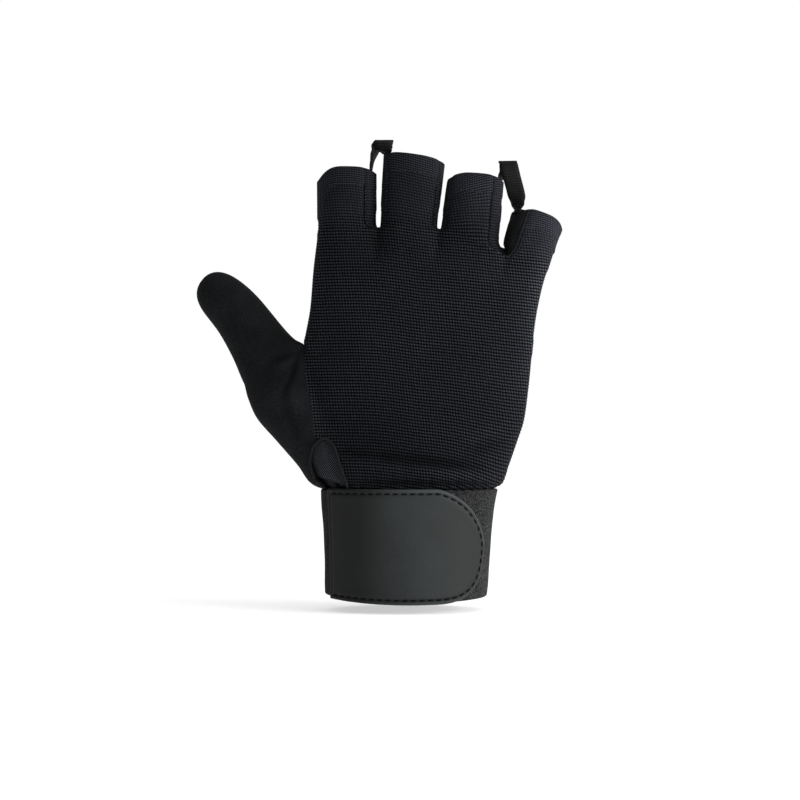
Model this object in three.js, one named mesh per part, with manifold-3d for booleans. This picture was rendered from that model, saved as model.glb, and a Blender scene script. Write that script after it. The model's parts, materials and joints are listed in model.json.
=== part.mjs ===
// A right-hand wheelchair glove, upright as a hand holds it: half fingers, a whole thumb, a wide
// elastic cuff with a stitched closure tab, two ribbon pull loops and a bound vent at the wrist.
// Millimetres. +Z runs to the fingertips, -Y out of the back of the hand, +X to the little finger.
// The origin is the centre of the wrist opening, at the foot of the cuff.
import * as THREE from "three";
import { mergeVertices } from "three/addons/utils/BufferGeometryUtils.js";
import Module from "manifold-3d";

const wasm = await Module();
wasm.setup();

// Cloth and the room between neighbouring pieces
const clothWall = 1.4; // knit, suede and gusset
const seamGap = 0.3; // between two pieces that meet at a seam

// Cuff: a ring of wide elastic
const cuffHeight = 48;
const cuffWidth = 72;
const cuffDepth = 50;
const cuffWall = 2;
const cuffTuck = 5; // how far the hand panels reach down inside the cuff

// Closure tab: synthetic leather laid round the front of the cuff
const tabHeight = 49;
const tabWall = 1.6;
const tabStart = -152; // where its straight end lies round the cuff, in degrees from the little-finger side
const tabEnd = -29; // where its rounded end lies
const tabRound = 42; // length of the rounded end, in degrees round the cuff

// Hand, from the top of the cuff to the fork of index and middle finger
const handLength = 111;
const palmWidth = 98;
const palmDepth = 40;
const palmShift = 6; // the hand stands this far towards the little finger from the cuff's middle
const neckRise = 4.2; // height over which the panels swell out above the cuff

// Thumb
const thumbFork = 60.8; // height of the thumb's fork above the cuff
const thumbDrop = 16.1; // the thumb root's outer edge lies this far below the fork
const thumbReach = 71.2; // from the cuff's middle to the root's outer edge
const thumbWidth = 30;
const thumbDepth = 25;
const thumbLength = 49;
const thumbForward = 6; // how far the tip stands towards the palm

// Fingers
const fingerLength = 31; // middle finger, from its fork to its rim
const fingerWidth = 25.6;
const fingerDepth = 23.5;
const forkRadius = 3.2; // round of the web between two fingers
const forkFade = 14; // height over which a fourchette widens from the web to its full width
const hemHeight = 7; // turned-in hem at each fingertip
const hemRise = 0.45;

// Ribbon of the pull loops
const ribbonWidth = 8;
const ribbonWall = 1;
const loopRise = 11; // about the height of a loop above the rim where it starts

// Vent between thumb and back panel
const ventWidth = 12.6;
const ventHeight = 21.7;
const ventFoot = -0.765; // where its middle meets the cuff, as a share of half the palm's width
const bindingWidth = 1.7;

// Colours and finishes
const knitCloth = { color: 0x1b1c20, roughness: 0.92, metalness: 0 };
const suedeCloth = { color: 0x171819, roughness: 0.85, metalness: 0 };
const elasticCloth = { color: 0x2a2b2a, roughness: 0.95, metalness: 0 };
const tabLeather = { color: 0x34383a, roughness: 0.55, metalness: 0 };
const ribbonCloth = { color: 0x222321, roughness: 0.8, metalness: 0 };

// How finely the cloth is divided
const fingerColumns = 5;
const sideColumns = 3;
const wallColumns = 3;
const thumbColumns = 6;

// Outline of the hand in the front view. up is a share of handLength above the cuff, and out a share
// of half the palm's width from the hand's middle line.
const radialOutline = [
  { up: 0.0, out: -0.85 },
  { up: 0.108, out: -0.918 },
  { up: 0.216, out: -0.959 },
  { up: 0.378, out: -1.004 },
  { up: 0.548, out: -1.027 },
  { up: 0.69, out: -0.973 },
  { up: 0.847, out: -0.939 },
  { up: 1.0, out: -0.894 },
];
const ulnarOutline = [
  { up: 0.0, out: 0.7 },
  { up: 0.063, out: 0.752 },
  { up: 0.108, out: 0.79 },
  { up: 0.189, out: 0.853 },
  { up: 0.261, out: 0.904 },
  { up: 0.378, out: 0.939 },
  { up: 0.613, out: 0.992 },
  { up: 0.775, out: 1.053 },
  { up: 0.865, out: 1.114 },
];
// Half thickness of the hand, as shares of half its depth
const handThickness = [
  { up: 0.0, back: 1.2, palm: 1.2 },
  { up: 0.108, back: 1.2, palm: 1.3 },
  { up: 0.3, back: 1.08, palm: 1.26 },
  { up: 0.548, back: 0.97, palm: 1.02 },
  { up: 0.8, back: 0.9, palm: 0.88 },
  { up: 1.0, back: 0.76, palm: 0.72 },
];
// Root of the thumb between cuff and fork. rise runs from 0 at the cuff to 1 at the fork. edgeUp and
// edgeOut are its outer edge, as shares of that edge's height at the fork and of thumbReach. seamOut is
// the seam with the back panel, as a share of half the palm's width, inner the hidden inner limit of the
// thumb's section, as a share of the same, and depth its thickness, as a share of thumbDepth.
const thumbRoot = [
  { rise: 0.0, edgeUp: 0.0, edgeOut: 0.57, seamOut: -0.82, inner: -0.1, depth: 1.75 },
  { rise: 0.2, edgeUp: 0.21, edgeOut: 0.655, seamOut: -0.86, inner: -0.3, depth: 1.5 },
  { rise: 0.4, edgeUp: 0.43, edgeOut: 0.775, seamOut: -0.925, inner: -0.55, depth: 1.28 },
  { rise: 0.6, edgeUp: 0.655, edgeOut: 0.9, seamOut: -0.955, inner: -0.75, depth: 1.14 },
  { rise: 0.8, edgeUp: 0.85, edgeOut: 0.957, seamOut: -1.0, inner: -0.9, depth: 1.06 },
  { rise: 1.0, edgeUp: 1.0, edgeOut: 0.983, seamOut: -1.008, inner: -0.985, depth: 1.0 },
];
// Thumb above the fork: along is a share of thumbLength, lean is in degrees from upright, and wide and
// deep are shares of thumbWidth and thumbDepth.
const thumbSections = [
  { along: 0.0, lean: 38, wide: 1.0, deep: 1.0 },
  { along: 0.18, lean: 34, wide: 0.88, deep: 0.95 },
  { along: 0.45, lean: 35, wide: 0.785, deep: 0.93 },
  { along: 0.7, lean: 46, wide: 0.765, deep: 0.9 },
  { along: 1.0, lean: 52, wide: 0.78, deep: 0.86 },
];
// Line through the forks. out is a share of half the palm's width from the hand's middle line, and up
// a share of handLength above the cuff.
const knuckleLine = [
  { out: -0.9, up: 0.99 },
  { out: -0.64, up: 1.005 },
  { out: -0.367, up: 1.003 },
  { out: -0.1, up: 1.01 },
  { out: 0.163, up: 0.997 },
  { out: 0.45, up: 0.963 },
  { out: 0.747, up: 0.892 },
  { out: 1.13, up: 0.855 },
];
// Forks between fingers: out as above, deep the half depth of the web as a share of fingerDepth. round
// and palmUp are shares of forkRadius: the round of the fork, and its palm end's height above its back end.
const forks = [
  { out: -0.367, deep: 0.27, round: 1.0, palmUp: 0.1 },
  { out: 0.163, deep: 0.27, round: 1.0, palmUp: 0.1 },
  { out: 0.747, deep: 0.3, round: 2.2, palmUp: 1.5 },
];
// Fingers. base and tip are the centre line's ends, as shares of half the palm's width from the hand's
// middle line, long, wide and deep are shares of the middle finger's sizes, tipWide is the rim's width
// as a share of its own, lean turns the rim in degrees, and roll turns the finger about its length.
// leftSeam and rightSeam are the back panel's seams, in degrees from the finger's sides, where 0 is a
// side without a fourchette. leftDip and rightDip are how far the rim falls off there, in hem heights.
const fingers = [
  { base: -0.648, tip: -0.647, long: 0.83, wide: 0.965, deep: 0.97, tipWide: 1.0, lean: 1, roll: 0,
    leftSeam: 0, rightSeam: 52, leftDip: 0.9, rightDip: 0.3 },
  { base: -0.107, tip: -0.062, long: 1.02, wide: 0.95, deep: 1.0, tipWide: 1.055, lean: 6, roll: 0,
    leftSeam: 38, rightSeam: 36, leftDip: 0.4, rightDip: 0.25 },
  { base: 0.42, tip: 0.478, long: 0.87, wide: 0.955, deep: 0.95, tipWide: 0.965, lean: 4, roll: 0,
    leftSeam: 36, rightSeam: 52, leftDip: 0.5, rightDip: 0.35 },
  { base: 0.925, tip: 1.02, long: 0.7, wide: 0.8, deep: 0.86, tipWide: 1.06, lean: 19, roll: 14,
    leftSeam: 56, rightSeam: 0, leftDip: 0.7, rightDip: 0.6 },
];
const palmSeam = 38; // degrees from a finger's side to its seam with the palm panel
const palmSeamShift = 8; // how far the thumb's palm seam swings towards the palm
const seamPull = 2.2; // how closely a finger's back holds the forks' pull to its seams

// Folds of the cloth, as valleys in the front view. The ends are shares of palmWidth from the thumb's
// fork, across and down, and depth and width are shares of clothWall.
const folds = [
  { fromX: -0.02, fromZ: -0.035, toX: -0.17, toZ: -0.1, depth: 1.0, width: 2.2 },
  { fromX: -0.025, fromZ: -0.05, toX: -0.1, toZ: -0.24, depth: 1.0, width: 2.4 },
  { fromX: -0.11, fromZ: -0.29, toX: -0.02, toZ: -0.42, depth: 0.4, width: 2.6 },
  { fromX: 0.16, fromZ: -0.46, toX: 0.46, toZ: -0.495, depth: 0.6, width: 1.9 },
  { fromX: 0.42, fromZ: -0.495, toX: 0.8, toZ: -0.535, depth: 0.65, width: 1.9 },
];

const mix = (a, b, t) => a + (b - a) * t;
const clamp01 = (t) => Math.min(1, Math.max(0, t));
const ease = (t) => clamp01(t) ** 2 * (3 - 2 * clamp01(t));
const arcEase = (t) => Math.sqrt(1 - (1 - clamp01(t)) ** 2);
const radians = THREE.MathUtils.degToRad;
const mix3 = (a, b, t) => a.map((v, i) => mix(v, b[i], t));
const add3 = (a, b, s = 1) => a.map((v, i) => v + b[i] * s);
const minus = (a, b) => a.map((v, i) => v - b[i]);
const cross = (a, b) => [a[1] * b[2] - a[2] * b[1], a[2] * b[0] - a[0] * b[2], a[0] * b[1] - a[1] * b[0]];
const unit = (a) => {
  const length = Math.hypot(...a) || 1;
  return a.map((v) => v / length);
};

// A smooth curve through one column of a table, against another column.
function through(table, at, column) {
  const xs = table.map((row) => row[at]);
  const ys = table.map((row) => row[column]);
  const last = xs.length - 1;
  const slope = (i) => {
    const [a, b] = [Math.max(i - 1, 0), Math.min(i + 1, last)];
    return (ys[b] - ys[a]) / (xs[b] - xs[a]);
  };
  return (x) => {
    if (x <= xs[0]) return ys[0];
    if (x >= xs[last]) return ys[last];
    const i = xs.findIndex((_, k) => x < xs[k + 1]);
    const step = xs[i + 1] - xs[i];
    const t = (x - xs[i]) / step;
    const [t2, t3] = [t * t, t * t * t];
    return (2 * t3 - 3 * t2 + 1) * ys[i] + (t3 - 2 * t2 + t) * step * slope(i) +
      (3 * t2 - 2 * t3) * ys[i + 1] + (t3 - t2) * step * slope(i + 1);
  };
}

const halfPalm = palmWidth / 2;
const acrossHand = (share) => palmShift + share * halfPalm;
const upHand = (share) => cuffHeight + share * handLength;
const shareUp = (z) => (z - cuffHeight) / handLength;
const radialShare = through(radialOutline, "up", "out");
const ulnarShare = through(ulnarOutline, "up", "out");
const radialEdge = (z) => acrossHand(radialShare(shareUp(z)));
const ulnarEdge = (z) => acrossHand(ulnarShare(shareUp(z)));
const backShare = through(handThickness, "up", "back");
const palmShare = through(handThickness, "up", "palm");
const handDepthAt = (z, side) => (palmDepth / 2) * (side < 0 ? backShare : palmShare)(shareUp(z));
const rootOf = Object.fromEntries(
  ["edgeUp", "edgeOut", "seamOut", "inner", "depth"].map((key) => [key, through(thumbRoot, "rise", key)]));

const handSquareness = 2.5; // exponent of the hand's section: 2 is an ellipse, more is squarer
const fingerSquareness = 2.25;
const halfOval = (x, low, high, depth, power) => {
  const u = clamp01(Math.abs((x - (low + high) / 2) / ((high - low) / 2)));
  return depth * (1 - u ** power) ** (1 / power);
};
const softMax = (a, b, soft) => {
  const h = Math.max(soft - Math.abs(a - b), 0) / soft;
  return Math.max(a, b) + (h * h * soft) / 4;
};

// Cuff section: an oval, a little wider at its mouth above and towards the little finger
const cuffFlare = [
  { up: 0.0, radial: 0.98, ulnar: 0.955 },
  { up: 0.5, radial: 0.99, ulnar: 1.0 },
  { up: 0.8, radial: 1.015, ulnar: 1.04 },
  { up: 1.0, radial: 1.03, ulnar: 1.086 },
];
const cuffRadial = through(cuffFlare, "up", "radial");
const cuffUlnar = through(cuffFlare, "up", "ulnar");
function cuffRing(angle, z, inset) {
  const [cos, sin] = [Math.cos(angle), Math.sin(angle)];
  const flare = cos < 0 ? cuffRadial : cuffUlnar;
  const weight = Math.abs(cos) ** 2;
  const wide = (cuffWidth / 2) * mix(1, flare(z / cuffHeight), weight) - inset;
  return [wide * cos, (cuffDepth / 2 - inset) * sin, z];
}

// Section of hand and thumb root together, at a row between cuff and thumb fork
const neckFoot = cuffHeight + seamGap;
const forkZ = cuffHeight + thumbFork;
const panelFit = cuffWall + seamGap; // the tucked panels lie this far inside the cuff's outer face
const unionSoftness = 4;
function rootRow(z) {
  const rise = clamp01((z - neckFoot) / (forkZ - neckFoot));
  const row = { z, rise, left: radialEdge(z), right: ulnarEdge(z) };
  row.edgeZ = neckFoot + (forkZ - thumbDrop - neckFoot) * rootOf.edgeUp(rise) - Math.max(neckFoot - z, 0);
  row.edge = -thumbReach * rootOf.edgeOut(rise);
  row.inner = acrossHand(rootOf.inner(rise));
  row.seam = acrossHand(rootOf.seamOut(rise));
  row.palmSeam = row.seam + palmSeamShift * Math.sin(Math.PI * rise);
  row.thumbDepth = (thumbDepth / 2) * rootOf.depth(rise);
  return row;
}
const seamAt = (row, side) => (side < 0 ? row.seam : row.palmSeam);
const seamAngle = (row, side) =>
  Math.acos(THREE.MathUtils.clamp((2 * seamAt(row, side) - row.left - row.right) / (row.right - row.left), -1, 1));
function rootPoint(row, x, angle, side) {
  const hand = halfOval(x, row.left, row.right, handDepthAt(row.z, side), handSquareness);
  const thumb = halfOval(x, row.edge, row.inner, row.thumbDepth, 2);
  const both = x < row.left ? thumb : x > row.inner ? hand : softMax(hand, thumb, unionSoftness);
  const out = Math.max(row.seam - x, 0) / (row.seam - row.edge);
  const z = row.z + (row.edgeZ - row.z) * out ** mix(1.8, 1, row.rise);
  const swell = arcEase((row.z - neckFoot) / neckRise);
  return mix3(cuffRing(side < 0 ? -angle : angle, Math.min(z, row.z), panelFit), [x, side * both, z], swell);
}

// The hand's columns between the thumb seam and the little finger's side: where each finger's strip
// starts, in degrees round the section, at the cuff and at the thumb's fork
const stripStarts = [
  { cuff: 0, fork: 0 },
  { cuff: 112, fork: 116 },
  { cuff: 84, fork: 86 },
  { cuff: 57, fork: 56 },
  { cuff: 0, fork: 0 },
];
function stripAngle(row, side, strip, t) {
  const start = (k) =>
    k === 0 ? seamAngle(row, side) : radians(mix(stripStarts[k].cuff, stripStarts[k].fork, row.rise));
  return mix(start(strip), start(strip + 1), t);
}
function handFromRoot(row, side, strip, t) {
  const angle = stripAngle(row, side, strip, t);
  const x = (row.left + row.right) / 2 + ((row.right - row.left) / 2) * Math.cos(angle);
  return rootPoint(row, x, angle, side);
}
// The thumb root's columns, from the back seam (t = 0) round the outer edge (t = 0.5) to the palm seam
function thumbFromRoot(row, t) {
  const side = t <= 0.5 ? -1 : 1;
  const seam = seamAt(row, side);
  const [middle, half] = [(row.edge + row.inner) / 2, (row.inner - row.edge) / 2];
  const start = Math.acos(THREE.MathUtils.clamp((seam - middle) / half, -1, 1));
  const angle = mix(Math.PI, start, Math.abs(2 * t - 1));
  const x = middle + half * Math.cos(angle);
  const cuffAngle = mix(Math.PI, seamAngle(row, side), Math.abs(2 * t - 1));
  return rootPoint(row, x, cuffAngle, side);
}

// Thumb above its fork: a tube whose centre line curls outwards
const forkRow = rootRow(forkZ);
const thumbWide = through(thumbSections, "along", "wide");
const thumbDeep = through(thumbSections, "along", "deep");
const thumbLean = through(thumbSections, "along", "lean");
const rootCentre = [(forkRow.edge + forkRow.left) / 2, 0, (forkRow.edgeZ + forkZ) / 2];
const capPower = 6; // how late the thumb's rounded end starts
function thumbCentre(s) {
  const steps = 12;
  let point = rootCentre;
  for (let i = 0; i < steps; i += 1) {
    const lean = radians(thumbLean((s * (i + 0.5)) / steps));
    const step = (thumbLength * s) / steps;
    point = add3(point, [-Math.sin(lean) * step, 0, Math.cos(lean) * step]);
  }
  return add3(point, [0, thumbForward * s * s, 0]);
}
function thumbRing(angle, s) {
  const lean = radians(thumbLean(s));
  const cap = (1 - s ** capPower) ** 0.45;
  const wide = (thumbWidth / 2) * thumbWide(s) * cap;
  const deep = (thumbDepth / 2) * thumbDeep(s) * cap;
  const reach = wide * Math.cos(angle);
  return add3(thumbCentre(s), [reach * Math.cos(lean), deep * Math.sin(angle), reach * Math.sin(lean)]);
}
const thumbSeam = radians(34); // the seams lie this far from the thumb's inner side
const outerAngle = (t) => -thumbSeam - (2 * Math.PI - 2 * thumbSeam) * t;
const innerAngle = (t) => mix(-thumbSeam, thumbSeam, t);
const webPoint = (t) => handSidePoint(forkRow, 0, 2 * Math.abs(t - 0.5), t < 0.5 ? -1 : 1);
const rootSettle = 0.3; // share of the thumb's length over which the root's shape fades
function thumbOuter(t, s) {
  const away = add3(thumbFromRoot(forkRow, t), thumbRing(outerAngle(t), 0), -1);
  return add3(thumbRing(outerAngle(t), s), away, 1 - ease(s / rootSettle));
}
function thumbInner(t, s) {
  const away = add3(webPoint(t), thumbRing(innerAngle(t), 0), -1);
  const fade = (1 - arcEase((s * thumbLength) / forkRadius)) * 0.5 + (1 - ease(s / rootSettle)) * 0.5;
  return add3(thumbRing(innerAngle(t), s), away, mix(1 - ease(s / rootSettle), fade, Math.sin(Math.PI * t)));
}

// Hand between the thumb's fork and the knuckle line
const fingersShow = 0.35; // share of the way up from which the hand takes on the fingers' form
const knuckleUp = through(knuckleLine, "out", "up");
const knuckleZ = (x) => upHand(knuckleUp((x - palmShift) / halfPalm));
function fingerRing(finger, angle, t) {
  const wide = (fingerWidth / 2) * finger.wide * mix(1, finger.tipWide, t);
  const deep = (fingerDepth / 2) * finger.deep * mix(1, 0.96, t);
  const base = acrossHand(finger.base);
  const tip = acrossHand(finger.tip);
  const lean = radians(finger.lean) * t;
  const [cos, sin] = [Math.cos(angle), Math.sin(angle)];
  const round = (Math.abs(cos) ** fingerSquareness + Math.abs(sin) ** fingerSquareness) ** (-1 / fingerSquareness);
  const roll = radians(finger.roll) * t;
  const across = wide * cos * round;
  const through3 = deep * sin * round;
  const reach = across * Math.cos(roll) - through3 * Math.sin(roll);
  const depth = across * Math.sin(roll) + through3 * Math.cos(roll);
  const dip = (cos < 0 ? finger.leftDip : finger.rightDip) * hemHeight * Math.abs(cos * round) ** 3.5 * t ** 2;
  return [
    mix(base, tip, t) + reach * Math.cos(lean),
    depth,
    knuckleZ(base) + fingerLength * finger.long * t - reach * Math.sin(lean) - dip,
  ];
}
const forkPoint = (fork, side) => {
  const x = acrossHand(fork.out);
  return [x, side * fingerDepth * fork.deep, knuckleZ(x) + (side > 0 ? forkRadius * fork.palmUp : 0)];
};
// Angles at which a finger's back or palm strip starts and ends, from its left side to its right
function stripEnds(finger, side) {
  const left = finger.leftSeam ? radians(side < 0 ? finger.leftSeam : palmSeam) : 0;
  const right = finger.rightSeam ? radians(side < 0 ? finger.rightSeam : palmSeam) : 0;
  return [side * (Math.PI - left), side * right];
}
// How far a finger's strip is drawn from its ring to the forks beside it, at t of its width
function forkPull(k, side, t, up) {
  const ends = stripEnds(fingers[k], side);
  const pull = (fork, angle, share) => {
    if (!fork) return [0, 0, 0];
    const away = minus(forkPoint(fork, side), fingerRing(fingers[k], angle, 0));
    return opening(away, fork, fingers[k], up).map((v) => v * share ** seamPull);
  };
  return add3(pull(forks[k - 1], ends[0], 1 - t), pull(forks[k], ends[1], t));
}
function opening(away, fork, finger, up) {
  const height = up * fingerLength * finger.long;
  const open = 1 - arcEase(height / (forkRadius * fork.round));
  return [away[0] * open, away[1] * (1 - ease(height / forkFade)), away[2] * (1 - up)];
}
function fingerStrip(k, side, t, up) {
  const [start, end] = stripEnds(fingers[k], side);
  return add3(fingerRing(fingers[k], mix(start, end, t), up), forkPull(k, side, t, up));
}
const fingerBase = (k, side, t) => fingerStrip(k, side, t, 0);
const indexShare = sideColumns / (sideColumns + fingerColumns); // share of the index strip on the hand's side
function stripPosition(k, t) {
  return k === 0 ? mix(indexShare, 1, t) : t;
}
// Hand point above the thumb's fork: rise runs from 0 at that fork to 1 at the knuckle line
function handUpper(k, side, t, rise) {
  const base = fingerBase(k, side, stripPosition(k, t));
  return upperPoint(side, rise, base, stripAngle(forkRow, side, k, t), handFromRoot(forkRow, side, k, t));
}
function handSidePoint(row, rise, t, side) {
  // t = 0 on the side seam, 1 on the column that starts at the thumb's fork
  const angle = mix(Math.PI, seamAngle(row, side), t);
  const x = (row.left + row.right) / 2 + ((row.right - row.left) / 2) * Math.cos(angle);
  const y = side * halfOval(x, row.left, row.right, handDepthAt(row.z, side), handSquareness);
  const corner = rootPoint(row, seamAt(row, side), seamAngle(row, side), side);
  const cornerX = seamAt(row, side);
  const cornerY = side * halfOval(cornerX, row.left, row.right, handDepthAt(row.z, side), handSquareness);
  const start = [x, y + (corner[1] - cornerY) * t ** 2, row.z];
  if (rise === 0) return start;
  const base = fingerBase(0, side, indexShare * t);
  return upperPoint(side, rise, base, angle, start);
}
function upperPoint(side, rise, base, forkAngle, start) {
  // The section's own outline at this row, met at the column's own angle
  const [radialTop, ulnarTop] = [-0.9, 1.13].map((out) => knuckleZ(acrossHand(out)));
  const [radialEnd, ulnarEnd] = [radialEdge(radialTop), ulnarEdge(ulnarTop)];
  const [left, right] = [radialEdge(mix(forkZ, radialTop, rise)), ulnarEdge(mix(forkZ, ulnarTop, rise))];
  const [middle, half] = [(left + right) / 2, (right - left) / 2];
  const [knuckleLeft, knuckleRight] = [fingerRing(fingers[0], Math.PI, 0)[0], fingerRing(fingers[3], 0, 0)[0]];
  const baseShare = (2 * base[0] - knuckleLeft - knuckleRight) / (knuckleRight - knuckleLeft);
  const baseAngle = Math.acos(THREE.MathUtils.clamp(baseShare, -1, 1));
  const angle = mix(forkAngle, baseAngle, rise);
  const x = middle + half * Math.cos(angle);
  const z = mix(start[2], base[2], rise);
  const oval = side * halfOval(x, left, right, handDepthAt(z, side), handSquareness);
  const forkOval = side * halfOval(
    (forkRow.left + forkRow.right) / 2 + ((forkRow.right - forkRow.left) / 2) * Math.cos(forkAngle),
    forkRow.left, forkRow.right, handDepthAt(forkZ, side), handSquareness);
  const settled = oval + (start[1] - forkOval) * (1 - ease(rise / 0.3));
  const toFinger = ease((rise - fingersShow) / (1 - fingersShow));
  const knuckleX = (radialEnd + ulnarEnd) / 2 + ((ulnarEnd - radialEnd) / 2) * Math.cos(baseAngle);
  return [x + (base[0] - knuckleX) * ease(rise) * rise, mix(settled, base[1], toFinger), z];
}

// The fourchette's wall of a finger: t = 0 at the back panel's seam, 1 at the palm panel's
function fingerWall(k, atRight, t, up) {
  const finger = fingers[k];
  const end = atRight ? 1 : 0;
  const [from, to] = [stripEnds(finger, -1)[end], stripEnds(finger, 1)[end]];
  const angle = atRight ? mix(from, to, t) : mix(2 * Math.PI + from, to, t);
  const fork = forks[atRight ? k : k - 1];
  const away = minus(mix3(forkPoint(fork, -1), forkPoint(fork, 1), t), fingerRing(finger, angle, 0));
  return add3(fingerRing(finger, angle, up), opening(away, fork, finger, up));
}

// Valley depth of the folds at a point of the back
function foldDepth([x, y, z]) {
  if (y > 0) return 0;
  return folds.reduce((sum, fold) => {
    const from = [forkRow.left + fold.fromX * palmWidth, forkZ + fold.fromZ * palmWidth];
    const along = [(fold.toX - fold.fromX) * palmWidth, (fold.toZ - fold.fromZ) * palmWidth];
    const length2 = along[0] ** 2 + along[1] ** 2;
    const t = clamp01(((x - from[0]) * along[0] + (z - from[1]) * along[1]) / length2);
    const away = Math.hypot(x - from[0] - t * along[0], z - from[1] - t * along[1]);
    const fade = Math.sin(Math.PI * mix(0.12, 1, t));
    return sum + fold.depth * clothWall * fade * Math.exp(-((away / (fold.width * clothWall)) ** 2));
  }, 0);
}

// One net of quads over the whole glove. Each quad belongs to a named piece, and quads that meet share
// their corners, so neighbouring pieces get the same seam.
const net = { points: [], index: new Map(), quads: [] };
function netVertex(point) {
  const key = point.map((v) => Math.round(v * 2e3)).join();
  if (!net.index.has(key)) net.index.set(key, net.points.push(point) - 1);
  return net.index.get(key);
}
function addGrid(piece, ts, ups, pointAt) {
  const ids = ups.map((up) => ts.map((t) => netVertex(pointAt(t, up))));
  for (let r = 0; r + 1 < ups.length; r += 1)
    for (let c = 0; c + 1 < ts.length; c += 1)
      net.quads.push({ piece, ids: [ids[r][c], ids[r][c + 1], ids[r + 1][c + 1], ids[r + 1][c]] });
}
const spaced = (count) => Array.from({ length: count + 1 }, (_, i) => i / count);

const rootHeights = [
  cuffHeight - cuffTuck, neckFoot, neckFoot + 0.12 * neckRise, neckFoot + 0.45 * neckRise, neckFoot + neckRise,
  ...[0.12, 0.17, 0.22, 0.28, 0.4, 0.52, 0.64, 0.76, 0.88, 1].map((t) => mix(neckFoot, forkZ, t)),
];
const upperRises = [0, 0.08, 0.2, 0.35, 0.5, 0.64, 0.77, 0.89, 1];
const fingerUps = (finger) => {
  const length = fingerLength * finger.long;
  const near = [0, 0.12, 0.4, 1].map((t) => (t * forkRadius) / length);
  const hem = 1 - hemHeight / length;
  const middle = [1, 2].map((i) => mix(near[3], hem - 0.04, i / 2));
  return [...near, ...middle, hem + 0.02, 1];
};
const thumbUps = [0, 0.06, 0.14, 0.24, 0.36, 0.5, 0.64, 0.76, 0.86, 0.94, 0.985, 1];

// The back is one panel. The palm side is a panel for the hand, up to the round of the forks, and one for
// each finger above it.
const fingerPalms = ["palm_panel_index", "palm_panel_middle", "palm_panel_ring", "palm_panel_little"];
const roundRows = 3; // rows of a finger's strip that its forks' round takes
for (const side of [-1, 1]) {
  const panel = side < 0 ? "back_panel" : "palm_panel";
  const at = (fn) => (t, up) => fn(side < 0 ? t : 1 - t, up);
  for (let k = 0; k < fingers.length; k += 1) {
    addGrid(panel, spaced(fingerColumns), rootHeights, at((t, z) => handFromRoot(rootRow(z), side, k, t)));
    addGrid(panel, spaced(fingerColumns), upperRises, at((t, rise) => handUpper(k, side, t, rise)));
    const columns = k === 0 ? fingerColumns + sideColumns : fingerColumns;
    const ups = fingerUps(fingers[k]);
    const finger = at((t, up) => fingerStrip(k, side, t, up));
    const handUps = side < 0 ? ups : ups.slice(0, roundRows + 1);
    addGrid(panel, spaced(columns), handUps, finger);
    if (side > 0) addGrid(fingerPalms[k], spaced(columns), ups.slice(roundRows), finger);
  }
  addGrid(panel, spaced(sideColumns), upperRises, at((t, rise) => handSidePoint(forkRow, rise, t, side)));
}
const fourchetteNames = ["fourchette_index_middle", "fourchette_middle_ring", "fourchette_ring_little"];
fourchetteNames.forEach((piece, k) => {
  addGrid(piece, spaced(wallColumns), fingerUps(fingers[k]), (t, up) => fingerWall(k, true, t, up));
  addGrid(piece, spaced(wallColumns), fingerUps(fingers[k + 1]), (t, up) => fingerWall(k + 1, false, 1 - t, up));
});
addGrid("thumb_shell", spaced(2 * thumbColumns), rootHeights, (t, z) => thumbFromRoot(rootRow(z), 1 - t));
addGrid("thumb_shell", spaced(2 * thumbColumns), thumbUps, (t, s) => thumbOuter(1 - t, s));
addGrid("thumb_shell", spaced(2 * sideColumns), thumbUps, thumbInner);

// Normals of the whole net, facing out
const netNormals = net.points.map(() => [0, 0, 0]);
for (const { ids } of net.quads) {
  const [a, b, c, d] = ids.map((i) => net.points[i]);
  const normal = cross(minus(c, a), minus(d, b));
  for (const i of new Set(ids)) netNormals[i] = add3(netNormals[i], normal);
}
netNormals.forEach((normal, i) => (netNormals[i] = unit(normal)));

// Corners of the forks, where three walls meet
const forkIds = new Set(forks.flatMap((fork) => [-1, 1].map((side) => netVertex(forkPoint(fork, side)))));

// Turned-in hems stand a little proud, folds sink in
const hemAt = new Map();
fingers.forEach((finger, k) => {
  const length = fingerLength * finger.long;
  const hem = 1 - hemHeight / length;
  const isHem = (up) => up > hem;
  for (const up of fingerUps(finger).filter(isHem))
    for (const side of [-1, 1])
      for (const t of spaced(k === 0 ? fingerColumns + sideColumns : fingerColumns))
        hemAt.set(netVertex(fingerStrip(k, side, t, up)), hemRise);
});
const outerPoints = net.points.map((point, i) => add3(point, netNormals[i], (hemAt.get(i) ?? 0) - foldDepth(point)));
const innerPoints = outerPoints.map((point, i) => add3(point, netNormals[i], -clothWall - (hemAt.get(i) ?? 0)));

// Edges of a run of quads that belong to one quad only
function openEdges(quads) {
  const edges = new Map();
  for (const ids of quads)
    ids.forEach((from, i) => {
      const to = ids[(i + 1) % 4];
      if (from === to) return;
      if (edges.has(`${to},${from}`)) edges.delete(`${to},${from}`);
      else edges.set(`${from},${to}`, [from, to]);
    });
  return [...edges.values()];
}

// A closed solid from quads over two matching lists of points, with walls along the open edges
function closedSheet(quads, outer, inner) {
  const position = [];
  const triangle = (...corners) => {
    const keys = new Set(corners.map((corner) => corner.map((v) => v.toFixed(4)).join()));
    if (keys.size === 3) corners.forEach((corner) => position.push(...corner));
  };
  for (const [a, b, c, d] of quads) {
    triangle(outer[a], outer[b], outer[c]);
    triangle(outer[a], outer[c], outer[d]);
    triangle(inner[c], inner[b], inner[a]);
    triangle(inner[d], inner[c], inner[a]);
  }
  for (const [from, to] of openEdges(quads)) {
    triangle(outer[to], outer[from], inner[from]);
    triangle(outer[to], inner[from], inner[to]);
  }
  const geometry = new THREE.BufferGeometry();
  geometry.setAttribute("position", new THREE.Float32BufferAttribute(position, 3));
  return geometry;
}

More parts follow.
